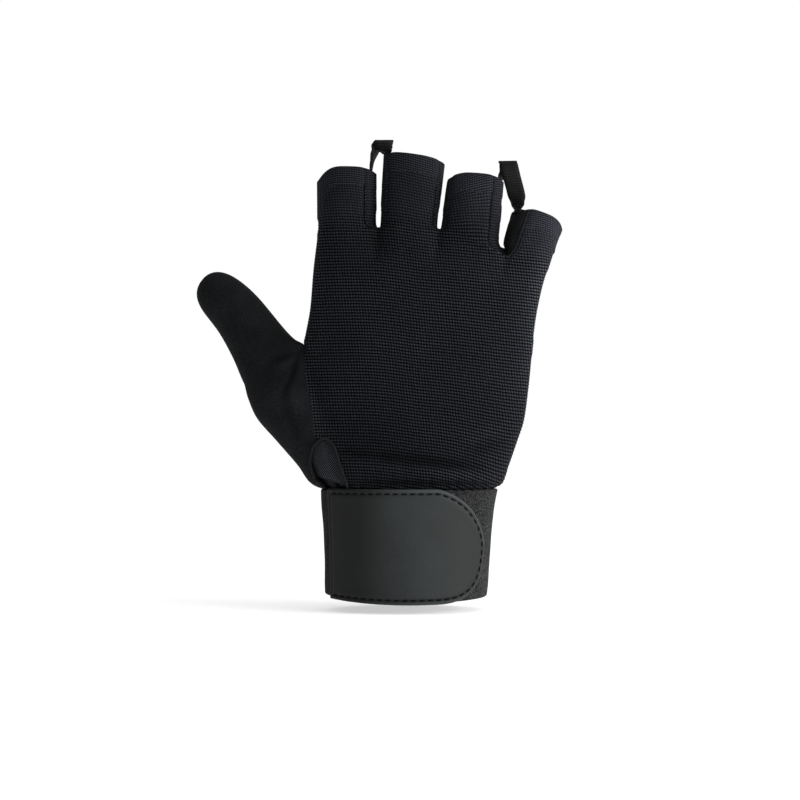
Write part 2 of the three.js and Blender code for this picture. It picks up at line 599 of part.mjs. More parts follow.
// One piece of the net, drawn back square to the seams that it shares with other pieces
function netPiece(piece) {
  const quads = net.quads.filter((quad) => quad.piece === piece).map((quad) => quad.ids);
  const others = openEdges(net.quads.filter((quad) => quad.piece !== piece).map((quad) => quad.ids));
  const shared = new Set(others.map(([from, to]) => `${to},${from}`));
  const seams = openEdges(quads).filter((edge) => shared.has(edge.join()));
  const drawn = (points) => {
    const inward = new Map();
    for (const [from, to] of seams)
      for (const i of [from, to]) {
        const square = unit(cross(netNormals[i], minus(points[to], points[from])));
        inward.set(i, [...(inward.get(i) ?? []), square]);
      }
    return points.map((point, i) => {
      if (!inward.has(i)) return point;
      const sides = inward.get(i);
      const sum = sides.reduce((total, side) => add3(total, side), [0, 0, 0]);
      const spread = Math.max(Math.hypot(...sum) / sides.length, 0.6);
      return add3(point, unit(sum), ((forkIds.has(i) ? 1.9 : 0.6) * seamGap) / spread);
    });
  };
  return closedSheet(quads, drawn(outerPoints), drawn(innerPoints));
}

// A sheet or band over a grid of t and u, between an outer and an inner face
function gridSheet(ts, us, outerAt, innerAt, closed = false) {
  const [outer, inner, quads] = [[], [], []];
  const columns = closed ? ts.length - 1 : ts.length;
  for (const u of us)
    for (const t of ts.slice(0, columns)) {
      outer.push(outerAt(t, u));
      inner.push(innerAt(t, u));
    }
  for (let r = 0; r + 1 < us.length; r += 1)
    for (let c = 0; c + 1 < ts.length; c += 1) {
      const next = (c + 1) % columns;
      quads.push([r * columns + c, r * columns + next, (r + 1) * columns + next, (r + 1) * columns + c]);
    }
  return closedSheet(quads, outer, inner);
}

function solidOf(geometry) {
  const bare = geometry.clone();
  for (const name of Object.keys(bare.attributes)) if (name !== "position") bare.deleteAttribute(name);
  const merged = mergeVertices(bare, 1e-4);
  return new wasm.Manifold(new wasm.Mesh({
    numProp: 3,
    vertProperties: merged.attributes.position.array,
    triVerts: new Uint32Array(merged.index.array),
  }));
}
function geometryOf(solid) {
  const { numProp, vertProperties, triVerts } = solid.getMesh();
  const position = new Float32Array((vertProperties.length / numProp) * 3);
  for (let i = 0; i < position.length / 3; i += 1)
    position.set(vertProperties.subarray(i * numProp, i * numProp + 3), i * 3);
  const geometry = new THREE.BufferGeometry();
  geometry.setAttribute("position", new THREE.BufferAttribute(position, 3));
  geometry.setIndex(new THREE.BufferAttribute(new Uint32Array(triVerts), 1));
  return geometry;
}

// Cuff
function cuffBand() {
  const turns = 44;
  const ups = [0, 0.3, 0.6, 0.85, 1].map((share) => share * cuffHeight);
  const at = (inset) => (t, z) => cuffRing(2 * Math.PI * t, z, inset);
  return gridSheet(spaced(turns), ups, at(0), at(cuffWall), true);
}

// Closure tab, straight at one end and rounded at the other
function closureTab() {
  const straight = spaced(12).map((t) => mix(tabStart, tabEnd - tabRound, t));
  const round = [0.2, 0.4, 0.58, 0.74, 0.87, 0.96, 1].map((t) => tabEnd - tabRound * (1 - t));
  const roundShape = 1.7; // exponent of the end's outline
  const point = (angle, up, out) => {
    const into = clamp01((angle - tabEnd + tabRound) / tabRound);
    const half = (tabHeight / 2) * (1 - into ** roundShape) ** (1 / roundShape);
    const z = cuffHeight / 2 + half * up;
    const [x, y] = cuffRing(radians(angle), THREE.MathUtils.clamp(z, 0, cuffHeight), -out);
    return [x, y, z];
  };
  const ups = spaced(6).map((t) => 2 * t - 1);
  const faces = (out) => (angle, up) => point(angle, up, out);
  return gridSheet([...straight, ...round], ups, faces(seamGap + tabWall), faces(seamGap));
}

// A flat ribbon along a smooth line. Each stop gives the line's point and the way its width runs.
function ribbon(stops, steps) {
  const curve = new THREE.CatmullRomCurve3(stops.map((stop) => new THREE.Vector3(...stop.at)), false, "centripetal");
  const face = (out) => (t, u) => {
    const place = u * (stops.length - 1);
    const i = Math.min(Math.floor(place), stops.length - 2);
    const wide = unit(mix3(stops[i].wide, stops[i + 1].wide, ease(place - i)));
    const flat = unit(cross(wide, curve.getTangent(u).toArray()));
    return add3(add3(curve.getPoint(u).toArray(), wide, t * ribbonWidth), flat, out);
  };
  return gridSheet([-0.5, 0, 0.5], spaced(steps), face(ribbonWall / 2), face(-ribbonWall / 2));
}

// The two pull loops rise out of one finger and go down into the next, inside their fourchettes
const ribbonInset = clothWall + seamGap + 0.19 * ribbonWidth + ribbonWall / 2;
const legDepth = 0.62; // how far up the finger's length a leg's end lies
function legFoot(k, atRight, up, depth) {
  const [x, , z] = fingerWall(k, atRight, 0.5, up);
  return [x + (atRight ? -ribbonInset : ribbonInset), depth, z];
}
// Each stop gives its place across from one rim to the other, how far it stands to the palm as a share of
// ribbonWidth, its height from the rim named by its side to the top, and the way its width runs.
const indexLoop = [
  { across: 0.24, depth: 0.12, far: 0, up: 0.45, wide: [0.2, 1, 0] },
  { across: 0.42, depth: 0.3, far: 0, up: 0.82, wide: [0.75, 0.65, 0.1] },
  { across: 0.62, depth: 0.15, far: 0, up: 1, wide: [1, 0.15, 0] },
  { across: 0.64, depth: -0.1, far: 0, up: 0.99, wide: [1, -0.1, 0] },
  { across: 0.72, depth: -0.24, far: 1, up: 0.55, wide: [0.85, -0.5, 0] },
  { across: 0.87, depth: -0.1, far: 1, up: 0.24, wide: [0.4, -0.9, 0] },
];
const littleLoop = [
  { across: 0.2, depth: 0.26, far: 0, up: 0.46, wide: [0.5, 0.85, 0] },
  { across: 0.48, depth: 0.27, far: 0, up: 0.9, wide: [1, 0.15, 0] },
  { across: 0.5, depth: 0, far: 0, up: 1, wide: [1, 0, 0] },
  { across: 0.53, depth: -0.25, far: 0, up: 0.89, wide: [1, 0, -0.05] },
  { across: 0.66, depth: -0.4, far: 1, up: 0.64, wide: [1, -0.1, -0.05] },
  { across: 0.755, depth: -0.36, far: 1, up: 0.4, wide: [0.95, -0.3, -0.05] },
  { across: 0.81, depth: -0.2, far: 1, up: 0.2, wide: [0.6, -0.8, 0] },
];
function pullLoop(k, endDepth, rise, table, steps) {
  const [low, rim] = [legFoot(k, true, legDepth, 0), legFoot(k, true, 1, 0)];
  const [endLow, endRim] = [legFoot(k + 1, false, endDepth, 0), legFoot(k + 1, false, 1, 0)];
  const top = rim[2] + rise * loopRise;
  const stops = table.map(({ across, depth, far, up, wide }) => ({
    at: [mix(rim[0], endRim[0], across), depth * ribbonWidth, mix(far ? endRim[2] : rim[2], top, up)],
    wide,
  }));
  return ribbon([
    { at: low, wide: [0, 1, 0] },
    { at: rim, wide: [0, 1, 0] },
    ...stops,
    { at: endRim, wide: [0, -1, 0] },
    { at: endLow, wide: [0, -1, 0] },
  ], steps);
}

// The glove's back over the front view. Columns run from -1 at the thumb's outer edge through 0 at its
// seam to 1 at the little finger's side.
function backColumn(row, column) {
  if (column < 0) return thumbFromRoot(row, -column / 2);
  const angle = mix(seamAngle(row, -1), 0, column);
  const x = (row.left + row.right) / 2 + ((row.right - row.left) / 2) * Math.cos(angle);
  return rootPoint(row, x, angle, -1);
}
function bisect(low, high, isLow) {
  const middle = (low + high) / 2;
  if (high - low < 1e-4) return middle;
  return isLow(middle) ? bisect(middle, high, isLow) : bisect(low, middle, isLow);
}
function backPoint(x, z) {
  const columnAt = (row) => bisect(-1, 1, (column) => backColumn(row, column)[0] < x);
  const height = bisect(neckFoot - cuffTuck, forkZ, (rowZ) => {
    const row = rootRow(rowZ);
    return backColumn(row, columnAt(row))[2] < z;
  });
  const row = rootRow(height);
  return backColumn(row, columnAt(row));
}
function backNormal(x, z) {
  const step = 0.6;
  const alongX = minus(backPoint(x + step, z), backPoint(x - step, z));
  const alongZ = minus(backPoint(x, z + step), backPoint(x, z - step));
  return unit(cross(alongX, alongZ));
}
const overBack = (x, z, out) => add3(backPoint(x, z), backNormal(x, z), out);

// Vent outline, from foot to foot. across and up are shares of its width and height.
const ventOutline = [
  { across: -0.6, up: 0.22 },
  { across: -0.71, up: 0.4 },
  { across: -0.76, up: 0.56 },
  { across: -0.66, up: 0.82 },
  { across: -0.38, up: 0.985 },
  { across: -0.12, up: 0.965 },
  { across: 0.08, up: 0.82 },
  { across: 0.22, up: 0.56 },
  { across: 0.36, up: 0.33 },
  { across: 0.52, up: 0.05 },
];
const ventPoints = ventOutline.map(({ across, up }) => new THREE.Vector2(
  acrossHand(ventFoot) + across * ventWidth, cuffHeight + up * ventHeight));
const ventCurve = new THREE.SplineCurve(ventPoints);
function ventShape(grow) {
  const outline = spaced(26).map((u) => {
    const tangent = ventCurve.getTangent(u);
    return ventCurve.getPoint(u).add(new THREE.Vector2(-tangent.y, tangent.x).setLength(grow));
  });
  const foot = cuffHeight - 2 * cuffTuck;
  const ends = [outline[outline.length - 1], outline[0]].map((end) => new THREE.Vector2(end.x, foot));
  return new THREE.Shape([...outline, ...ends]);
}
// A prism through the glove's back, to cut the vent out of the panels. The shape's y becomes z.
function ventCutter() {
  const geometry = new THREE.ExtrudeGeometry(ventShape(bindingWidth / 2 + 1.6 * seamGap),
    { depth: palmDepth, bevelEnabled: false });
  geometry.rotateX(Math.PI / 2);
  geometry.translate(0, -2, 0);
  return solidOf(geometry);
}
function ventBinding() {
  const [steps, sides] = [26, 6];
  const centre = (u) => {
    const p = ventCurve.getPoint(u);
    return overBack(p.x, p.y, -0.25 * clothWall);
  };
  const ringAt = (radius) => (t, u) => {
    const before = centre(Math.max(u - 0.02, 0));
    const tangent = unit(minus(centre(Math.min(u + 0.02, 1)), before));
    const p = ventCurve.getPoint(u);
    const normal = backNormal(p.x, p.y);
    const sideways = unit(cross(tangent, normal));
    const turn = 2 * Math.PI * t;
    return add3(add3(centre(u), sideways, radius * Math.cos(turn)), normal, radius * Math.sin(turn));
  };
  const position = [];
  const ring = (u) => spaced(sides).slice(0, sides).map((t) => ringAt(bindingWidth / 2)(t, u));
  const rings = spaced(steps).map(ring);
  const quad = (a, b, c, d) => position.push(...a, ...b, ...c, ...a, ...c, ...d);
  for (let r = 0; r < steps; r += 1)
    for (let s = 0; s < sides; s += 1) {
      const next = (s + 1) % sides;
      quad(rings[r][s], rings[r + 1][s], rings[r + 1][next], rings[r][next]);
    }
  for (let s = 1; s + 1 < sides; s += 1) {
    position.push(...rings[0][0], ...rings[0][s], ...rings[0][s + 1]);
    position.push(...rings[steps][0], ...rings[steps][s + 1], ...rings[steps][s]);
  }
  const geometry = new THREE.BufferGeometry();
  geometry.setAttribute("position", new THREE.Float32BufferAttribute(position, 3));
  return geometry;
}
function ventGusset() {
  const hidden = 2; // how far the gusset reaches behind the panels
  const below = 0.6 * cuffTuck + ventCurve.getPoint(0).y - cuffHeight;
  const face = (depth) => (t, u) => {
    const [left, right] = [ventCurve.getPoint(Math.max(u, 0) / 2), ventCurve.getPoint(1 - Math.max(u, 0) / 2)];
    const reach = hidden * (1 - u ** 2) * mix(0.7, 1, ease(3 * u));
    const leftX = mix(left.x - mix(0.4, 1, ease(3 * u)) * reach, -0.44 * cuffWidth, ease(-2.5 * u));
    const z = mix(left.y, right.y, t) + (u < 0 ? below * u : 0.8 * hidden * u);
    return overBack(mix(leftX, right.x + reach, t), z, -depth - 2.6 * clothWall * Math.max(0.28 - u, 0));
  };
  const rows = [-1, -0.7, -0.35, ...spaced(7)];
  return gridSheet(spaced(6), rows, face(clothWall + seamGap), face(2 * clothWall + seamGap));
}

const glove = new THREE.Group();
function addPiece(name, geometry, finish) {
  const mesh = new THREE.Mesh(geometry, new THREE.MeshStandardMaterial(finish));
  mesh.name = name;
  glove.add(mesh);
}
const vent = ventCutter();
const vented = (piece) => geometryOf(solidOf(netPiece(piece)).subtract(vent));
addPiece("back_panel", vented("back_panel"), knitCloth);
for (const name of ["palm_panel", ...fingerPalms]) addPiece(name, netPiece(name), suedeCloth);
addPiece("thumb_shell", vented("thumb_shell"), suedeCloth);
for (const name of fourchetteNames) addPiece(name, netPiece(name), suedeCloth);
addPiece("cuff_band", cuffBand(), elasticCloth);
addPiece("closure_tab", closureTab(), tabLeather);
addPiece("pull_loop_index", pullLoop(0, legDepth, 1.3, indexLoop, 32), ribbonCloth);
addPiece("pull_loop_little", pullLoop(2, 0.8 * legDepth, 0.83, littleLoop, 34), ribbonCloth);
addPiece("vent_binding", ventBinding(), suedeCloth);
addPiece("vent_gusset", ventGusset(), knitCloth);

export default glove;
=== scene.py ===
import bpy
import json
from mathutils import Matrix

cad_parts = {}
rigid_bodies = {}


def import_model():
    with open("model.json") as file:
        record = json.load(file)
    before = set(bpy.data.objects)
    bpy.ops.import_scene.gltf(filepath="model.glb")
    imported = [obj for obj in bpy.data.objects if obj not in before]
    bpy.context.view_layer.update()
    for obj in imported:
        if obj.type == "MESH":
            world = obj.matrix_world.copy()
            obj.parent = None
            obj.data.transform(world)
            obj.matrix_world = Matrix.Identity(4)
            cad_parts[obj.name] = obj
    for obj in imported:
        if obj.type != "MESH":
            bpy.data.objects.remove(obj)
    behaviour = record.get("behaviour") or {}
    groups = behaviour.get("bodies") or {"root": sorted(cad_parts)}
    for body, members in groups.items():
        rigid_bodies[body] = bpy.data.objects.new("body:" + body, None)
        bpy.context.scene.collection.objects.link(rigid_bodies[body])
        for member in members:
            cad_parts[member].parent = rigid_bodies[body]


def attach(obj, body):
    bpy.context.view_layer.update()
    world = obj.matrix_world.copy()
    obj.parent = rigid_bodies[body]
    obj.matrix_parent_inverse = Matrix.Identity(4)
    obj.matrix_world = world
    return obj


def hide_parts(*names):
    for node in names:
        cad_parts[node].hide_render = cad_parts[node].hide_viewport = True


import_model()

for leftover in ("Cube", "Light", "Camera"):  # what Blender starts with
    if leftover in bpy.data.objects:
        bpy.data.objects.remove(bpy.data.objects[leftover])
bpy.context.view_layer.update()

import json
import math
import numpy as np
from mathutils import Vector
from mathutils.bvhtree import BVHTree
from mathutils.kdtree import KDTree

mm = 0.001
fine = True
scene = bpy.context.scene


# ---- small maths, on numpy arrays, in millimetres


def mix(a, b, t):
    return a + (b - a) * t


def ease(t):
    t = np.clip(t, 0, 1)
    return t * t * (3 - 2 * t)


def arcEase(t):
    return np.sqrt(1 - (1 - np.clip(t, 0, 1)) ** 2)


def bump(distance, width):
    return np.exp(-((distance / width) ** 2))


def point(x, y, z):
    return np.stack(np.broadcast_arrays(x, y, z), axis=-1).astype(float)


def unit(v):
    return v / np.maximum(np.linalg.norm(v, axis=-1, keepdims=True), 1e-12)


def mix3(a, b, t):
    return a + (b - a) * np.asarray(t)[..., None]


def curveOf(rows, column):  # a smooth curve through one column of a table, against its first
    xs = np.array([row[0] for row in rows], float)
    ys = np.array([row[column] for row in rows], float)
    before = np.maximum(np.arange(len(xs)) - 1, 0)
    after = np.minimum(np.arange(len(xs)) + 1, len(xs) - 1)
    slope = (ys[after] - ys[before]) / (xs[after] - xs[before])

    def value(x):
        x = np.clip(x, xs[0], xs[-1])
        i = np.clip(np.searchsorted(xs, x, side="right") - 1, 0, len(xs) - 2)
        step = xs[i + 1] - xs[i]
        t = (x - xs[i]) / step
        return ((2 * t ** 3 - 3 * t ** 2 + 1) * ys[i] + (t ** 3 - 2 * t ** 2 + t) * step * slope[i]
                + (3 * t ** 2 - 2 * t ** 3) * ys[i + 1] + (t ** 3 - t ** 2) * step * slope[i + 1])

    return value


def waves(p, seed, count, scale):  # a soft, seeded unevenness, about -1 to 1
    rng = np.random.default_rng(seed)
    total = 0
    for _ in range(count):
        way = rng.normal(size=3)
        pace = 2 * np.pi / scale * rng.uniform(0.6, 1.6)
        total = total + np.sin(p @ (way / np.linalg.norm(way)) * pace + rng.uniform(0, 6.3))
    return total / math.sqrt(count)


# ---- the glove's form: the same sizes and sections as the part's solids

cuff = {
    "height": 48, "width": 72, "depth": 50, "wall": 2, "tuck": 5,
    "flare": [(0, 0.98, 0.955), (0.5, 0.99, 1.0), (0.8, 1.015, 1.04), (1, 1.03, 1.086)],  # up, two sides
}
hand = {
    "length": 111, "width": 98, "depth": 40, "shift": 6, "neckRise": 4.2, "gap": 0.3, "square": 2.5,
    "fingersShow": 0.62,  # share of the way up to the knuckles from which the fingers show in its form
    "thumbSide": [(0, -0.85), (0.108, -0.918), (0.216, -0.959), (0.378, -1.004), (0.548, -1.027),
                  (0.69, -0.973), (0.847, -0.939), (1, -0.894)],  # up, out
    "otherSide": [(0, 0.7), (0.063, 0.752), (0.108, 0.79), (0.189, 0.853), (0.261, 0.904), (0.378, 0.939),
                  (0.613, 0.992), (0.775, 1.053), (0.865, 1.114)],
    "thickness": [(0, 1.2, 1.2), (0.108, 1.2, 1.3), (0.3, 1.08, 1.26), (0.548, 0.97, 1.02), (0.8, 0.9, 0.88),
                  (1, 0.76, 0.72)],  # up, back, palm
    "knuckles": [(-0.9, 0.99), (-0.64, 1.005), (-0.367, 1.003), (-0.1, 1.01), (0.163, 0.997), (0.45, 0.963),
                 (0.747, 0.892), (1.13, 0.855)],  # out, up
}
thumb = {
    "fork": 60.8, "drop": 16.1, "reach": 71.2, "width": 30, "depth": 25, "length": 49, "forward": 6,
    "cap": 6, "seam": 34, "settle": 0.3, "seamShift": 8, "soft": 4,
    "root": [(0, 0, 0.57, -0.82, -0.1, 1.75), (0.2, 0.21, 0.655, -0.86, -0.3, 1.5),
             (0.4, 0.43, 0.775, -0.925, -0.55, 1.28), (0.6, 0.655, 0.9, -0.955, -0.75, 1.14),
             (0.8, 0.85, 0.957, -1, -0.9, 1.06),
             (1, 1, 0.983, -1.008, -0.985, 1)],  # rise, edge up, edge out, seam, inner limit, depth
    "sections": [(0, 38, 1, 1), (0.18, 34, 0.88, 0.95), (0.45, 35, 0.785, 0.93), (0.7, 46, 0.765, 0.9),
                 (1, 52, 0.78, 0.86)],  # along, lean, wide, deep
}
finger = {
    "length": 31, "width": 25.6, "depth": 23.5, "square": 2.25, "fork": 3.2, "fade": 14, "hem": 7,
    "hemWidth": 8.1, "hemRise": 0.45, "palmSeam": 38, "pull": 2.2,
    # out, deep, round, palm up
    "forks": [(-0.367, 0.27, 1, 0.1), (0.163, 0.27, 1, 0.1), (0.747, 0.3, 2.2, 1.5)],
    # where the strips start round the hand, in degrees at the cuff and at the thumb's fork
    "starts": [(0, 0), (112, 116), (84, 86), (57, 56), (0, 0)],
    "names": ("base", "tip", "long", "wide", "deep", "tipWide", "lean", "roll",
              "leftSeam", "rightSeam", "leftDip", "rightDip"),
    "rows": [(-0.648, -0.647, 0.83, 0.965, 0.97, 1, 1, 0, 0, 52, 0.9, 0.3),
             (-0.107, -0.062, 0.98, 0.95, 1, 1.055, 8, 0, 38, 36, 0.16, 0.25),
             (0.42, 0.478, 0.87, 0.955, 0.95, 0.965, 4, 0, 36, 52, 0.5, 0.35),
             (0.925, 1.02, 0.7, 0.8, 0.86, 1.06, 19, 14, 56, 0, 0.7, 0.6)],
}
fingers = [dict(zip(finger["names"], row)) for row in finger["rows"]]
fingerNames = ("index", "middle", "ring", "little")
halfPalm = hand["width"] / 2
neckFoot = cuff["height"] + hand["gap"]
forkZ = cuff["height"] + thumb["fork"]


def acrossHand(share):
    return hand["shift"] + share * halfPalm


def shareUp(z):
    return (z - cuff["height"]) / hand["length"]


thumbSideOut, otherSideOut = curveOf(hand["thumbSide"], 1), curveOf(hand["otherSide"], 1)
backThick, palmThick = curveOf(hand["thickness"], 1), curveOf(hand["thickness"], 2)
knuckleUp = curveOf(hand["knuckles"], 1)
rootCurves = [curveOf(thumb["root"], column) for column in range(1, 6)]
thumbLean, thumbWide, thumbDeep = [curveOf(thumb["sections"], column) for column in (1, 2, 3)]
cuffThumbSide, cuffOtherSide = curveOf(cuff["flare"], 1), curveOf(cuff["flare"], 2)


def thumbEdge(z):
    return acrossHand(thumbSideOut(shareUp(z)))


def littleEdge(z):
    return acrossHand(otherSideOut(shareUp(z)))


def handDepth(z, side):
    return hand["depth"] / 2 * (backThick if side < 0 else palmThick)(shareUp(z))


def knuckleZ(x):
    return cuff["height"] + hand["length"] * knuckleUp((x - hand["shift"]) / halfPalm)


def halfOval(x, low, high, depth, power):
    u = np.clip(np.abs((x - (low + high) / 2) / ((high - low) / 2)), 0, 1)
    return depth * (1 - u ** power) ** (1 / power)


def angleAt(x, left, right):  # the angle round a section at which x lies
    return np.arccos(np.clip((2 * x - left - right) / (right - left), -1, 1))


def softMax(a, b, soft):
    h = np.maximum(soft - np.abs(a - b), 0) / soft
    return np.maximum(a, b) + h * h * soft / 4


def cuffRing(angle, z, inset):
    cos, sin = np.cos(angle), np.sin(angle)
    flare = np.where(cos < 0, cuffThumbSide(z / cuff["height"]), cuffOtherSide(z / cuff["height"]))
    wide = cuff["width"] / 2 * (1 + (flare - 1) * cos ** 2) - inset
    return point(wide * cos, (cuff["depth"] / 2 - inset) * sin, z)


def rootRow(z):
    rise = np.clip((z - neckFoot) / (forkZ - neckFoot), 0, 1)
    edgeUp, edgeOut, seamOut, inner, depth = [curve(rise) for curve in rootCurves]
    seam = acrossHand(seamOut)
    return {
        "z": z, "rise": rise, "left": thumbEdge(z), "right": littleEdge(z),
        "edgeZ": neckFoot + (forkZ - thumb["drop"] - neckFoot) * edgeUp - np.maximum(neckFoot - z, 0),
        "edge": -thumb["reach"] * edgeOut, "inner": acrossHand(inner), "seam": seam,
        "palmSeam": seam + thumb["seamShift"] * np.sin(np.pi * rise), "depth": thumb["depth"] / 2 * depth,
    }


def seamAt(row, side):
    return row["seam"] if side < 0 else row["palmSeam"]


def seamAngle(row, side):
    return angleAt(seamAt(row, side), row["left"], row["right"])


def rootPoint(row, x, angle, side):
    ofHand = halfOval(x, row["left"], row["right"], handDepth(row["z"], side), hand["square"])
    ofThumb = halfOval(x, row["edge"], row["inner"], row["depth"], 2)
    both = np.where(x > row["inner"], ofHand, softMax(ofHand, ofThumb, thumb["soft"]))
    both = np.where(x < row["left"], ofThumb, both)
    out = np.maximum(row["seam"] - x, 0) / (row["seam"] - row["edge"])
    z = row["z"] + (row["edgeZ"] - row["z"]) * out ** mix(1.8, 1, row["rise"])
    swell = arcEase((row["z"] - neckFoot) / hand["neckRise"])
    ring = cuffRing(-angle if side < 0 else angle, np.minimum(z, row["z"]), cuff["wall"] + hand["gap"])
    return mix3(ring, point(x, side * both, z), swell)


def sectionX(row, angle):
    return (row["left"] + row["right"]) / 2 + (row["right"] - row["left"]) / 2 * np.cos(angle)


def stripAngle(row, side, strip, t):
    def start(k):
        return seamAngle(row, side) if k == 0 else np.radians(mix(*finger["starts"][k], row["rise"]))
    return mix(start(strip), start(strip + 1), t)


def handFromRoot(row, side, strip, t):
    angle = stripAngle(row, side, strip, t)
    return rootPoint(row, sectionX(row, angle), angle, side)


def thumbHalf(row, t, side):
    middle, half = (row["edge"] + row["inner"]) / 2, (row["inner"] - row["edge"]) / 2
    start = np.arccos(np.clip((seamAt(row, side) - middle) / half, -1, 1))
    share = np.abs(2 * t - 1)
    x = middle + half * np.cos(mix(np.pi, start, share))
    return rootPoint(row, x, mix(np.pi, seamAngle(row, side), share), side)


def thumbFromRoot(row, t):  # from the back seam, t = 0, round the outer edge to the palm seam
    return np.where((t <= 0.5)[..., None], thumbHalf(row, t, -1), thumbHalf(row, t, 1))


forkRow = rootRow(np.array(forkZ))
rootCentre = np.array([(forkRow["edge"] + forkRow["left"]) / 2, 0, (forkRow["edgeZ"] + forkZ) / 2])


def thumbCentre(s):
    place = np.zeros(np.shape(s) + (3,)) + rootCentre
    steps = 12
    for i in range(steps):
        lean = np.radians(thumbLean(s * (i + 0.5) / steps))
        step = thumb["length"] * s / steps
        place = place + point(-np.sin(lean) * step, 0, np.cos(lean) * step)
    return place + point(0, thumb["forward"] * s * s, 0)


def thumbRing(angle, s):
    lean = np.radians(thumbLean(s))
    cap = (1 - s ** thumb["cap"]) ** 0.45
    reach = thumb["width"] / 2 * thumbWide(s) * cap * np.cos(angle)
    deep = thumb["depth"] / 2 * thumbDeep(s) * cap
    return thumbCentre(s) + point(reach * np.cos(lean), deep * np.sin(angle), reach * np.sin(lean))


def thumbOuter(t, s):
    seam = math.radians(thumb["seam"])
    angle = -seam - (2 * np.pi - 2 * seam) * t
    away = thumbFromRoot(forkRow, t) - thumbRing(angle, 0 * s)
    return thumbRing(angle, s) + away * (1 - ease(s / thumb["settle"]))[..., None]


def thumbInner(t, s):
    angle = mix(-1, 1, t) * math.radians(thumb["seam"])
    web = np.where((t < 0.5)[..., None], handSide(0 * t, 1 - 2 * t, -1), handSide(0 * t, 2 * t - 1, 1))
    away = web - thumbRing(angle, 0 * s)
    settled = 1 - ease(s / thumb["settle"])
    fade = (1 - arcEase(s * thumb["length"] / finger["fork"])) * 0.5 + settled * 0.5
    return thumbRing(angle, s) + away * mix(settled, fade, np.sin(np.pi * t))[..., None]


def fingerRing(k, angle, t):
    f = fingers[k]
    cos, sin = np.cos(angle), np.sin(angle)
    power = finger["square"]
    rounding = (np.abs(cos) ** power + np.abs(sin) ** power) ** (-1 / power)
    across = finger["width"] / 2 * f["wide"] * mix(1, f["tipWide"], t) * cos * rounding
    out = finger["depth"] / 2 * f["deep"] * mix(1, 0.96, t) * sin * rounding
    lean, roll = math.radians(f["lean"]) * t, math.radians(f["roll"]) * t
    reach = across * np.cos(roll) - out * np.sin(roll)
    sideDip = np.where(cos < 0, f["leftDip"], f["rightDip"])
    dip = sideDip * finger["hem"] * np.abs(cos * rounding) ** 3.5 * t ** 2
    base, tip = acrossHand(f["base"]), acrossHand(f["tip"])
    return point(mix(base, tip, t) + reach * np.cos(lean), across * np.sin(roll) + out * np.cos(roll),
                 knuckleZ(base) + finger["length"] * f["long"] * t - reach * np.sin(lean) - dip)


def forkPoint(fork, side):
    x = acrossHand(fork[0])
    rise = finger["fork"] * fork[3] if side > 0 else 0
    return np.array([x, side * finger["depth"] * fork[1], knuckleZ(x) + rise])


def stripEnds(k, side):
    f = fingers[k]
    left = math.radians(f["leftSeam"] if side < 0 else finger["palmSeam"]) if f["leftSeam"] else 0
    right = math.radians(f["rightSeam"] if side < 0 else finger["palmSeam"]) if f["rightSeam"] else 0
    return side * (math.pi - left), side * right


def opening(away, fork, k, up):
    height = up * finger["length"] * fingers[k]["long"]
    sideways = 1 - arcEase(height / (finger["fork"] * fork[2]))
    return away * np.stack([sideways, 1 - ease(height / finger["fade"]), 1 - up], axis=-1)


def fingerStrip(k, side, t, up):
    start, end = stripEnds(k, side)
    result = fingerRing(k, mix(start, end, t), up)
    for fork, angle, share in ((k - 1, start, 1 - t), (k, end, t)):
        if 0 <= fork < 3:
            row = finger["forks"][fork]
            away = forkPoint(row, side) - fingerRing(k, np.array(angle), np.array(0.0))
            result = result + opening(away, row, k, up) * (np.clip(share, 0, 1) ** finger["pull"])[..., None]
    return result


def fingerWall(k, atRight, t, up):  # from the back panel's seam, t = 0, to the palm panel's
    end = 1 if atRight else 0
    first, last = stripEnds(k, -1)[end], stripEnds(k, 1)[end]
    angle = mix(first if atRight else 2 * np.pi + first, last, t)
    row = finger["forks"][k if atRight else k - 1]
    away = mix3(forkPoint(row, -1), forkPoint(row, 1), t) - fingerRing(k, angle, 0 * t)
    return fingerRing(k, angle, up) + opening(away, row, k, up)


indexShare = 3 / 8  # of the index finger's strip round the hand, taken by the side over the thumb's fork


def forkOval(x, side):
    return side * halfOval(x, forkRow["left"], forkRow["right"], handDepth(forkZ, side), hand["square"])


def upperPoint(side, rise, base, forkAngle, start):
    thumbTop, littleTop = knuckleZ(acrossHand(-0.9)), knuckleZ(acrossHand(1.13))
    left, right = thumbEdge(mix(forkZ, thumbTop, rise)), littleEdge(mix(forkZ, littleTop, rise))
    firstEnd, lastEnd = thumbEdge(thumbTop), littleEdge(littleTop)
    knuckleLeft = fingerRing(0, np.array(np.pi), np.array(0.0))[0]
    knuckleRight = fingerRing(3, np.array(0.0), np.array(0.0))[0]
    baseAngle = angleAt(base[..., 0], knuckleLeft, knuckleRight)
    x = (left + right) / 2 + (right - left) / 2 * np.cos(mix(forkAngle, baseAngle, rise))
    z = mix(start[..., 2], base[..., 2], rise)
    oval = side * halfOval(x, left, right, handDepth(z, side), hand["square"])
    away = start[..., 1] - forkOval(sectionX(forkRow, forkAngle), side)
    settled = oval + away * (1 - ease(rise / thumb["settle"]))
    knuckleX = (firstEnd + lastEnd) / 2 + (lastEnd - firstEnd) / 2 * np.cos(baseAngle)
    shown = ease((rise - hand["fingersShow"]) / (1 - hand["fingersShow"]))
    return point(x + (base[..., 0] - knuckleX) * ease(rise) * rise, mix(settled, base[..., 1], shown), z)


def handUpper(k, side, t, rise):
    base = fingerStrip(k, side, mix(indexShare, 1, t) if k == 0 else t, 0 * t)
    return upperPoint(side, rise, base, stripAngle(forkRow, side, k, t), handFromRoot(forkRow, side, k, t))


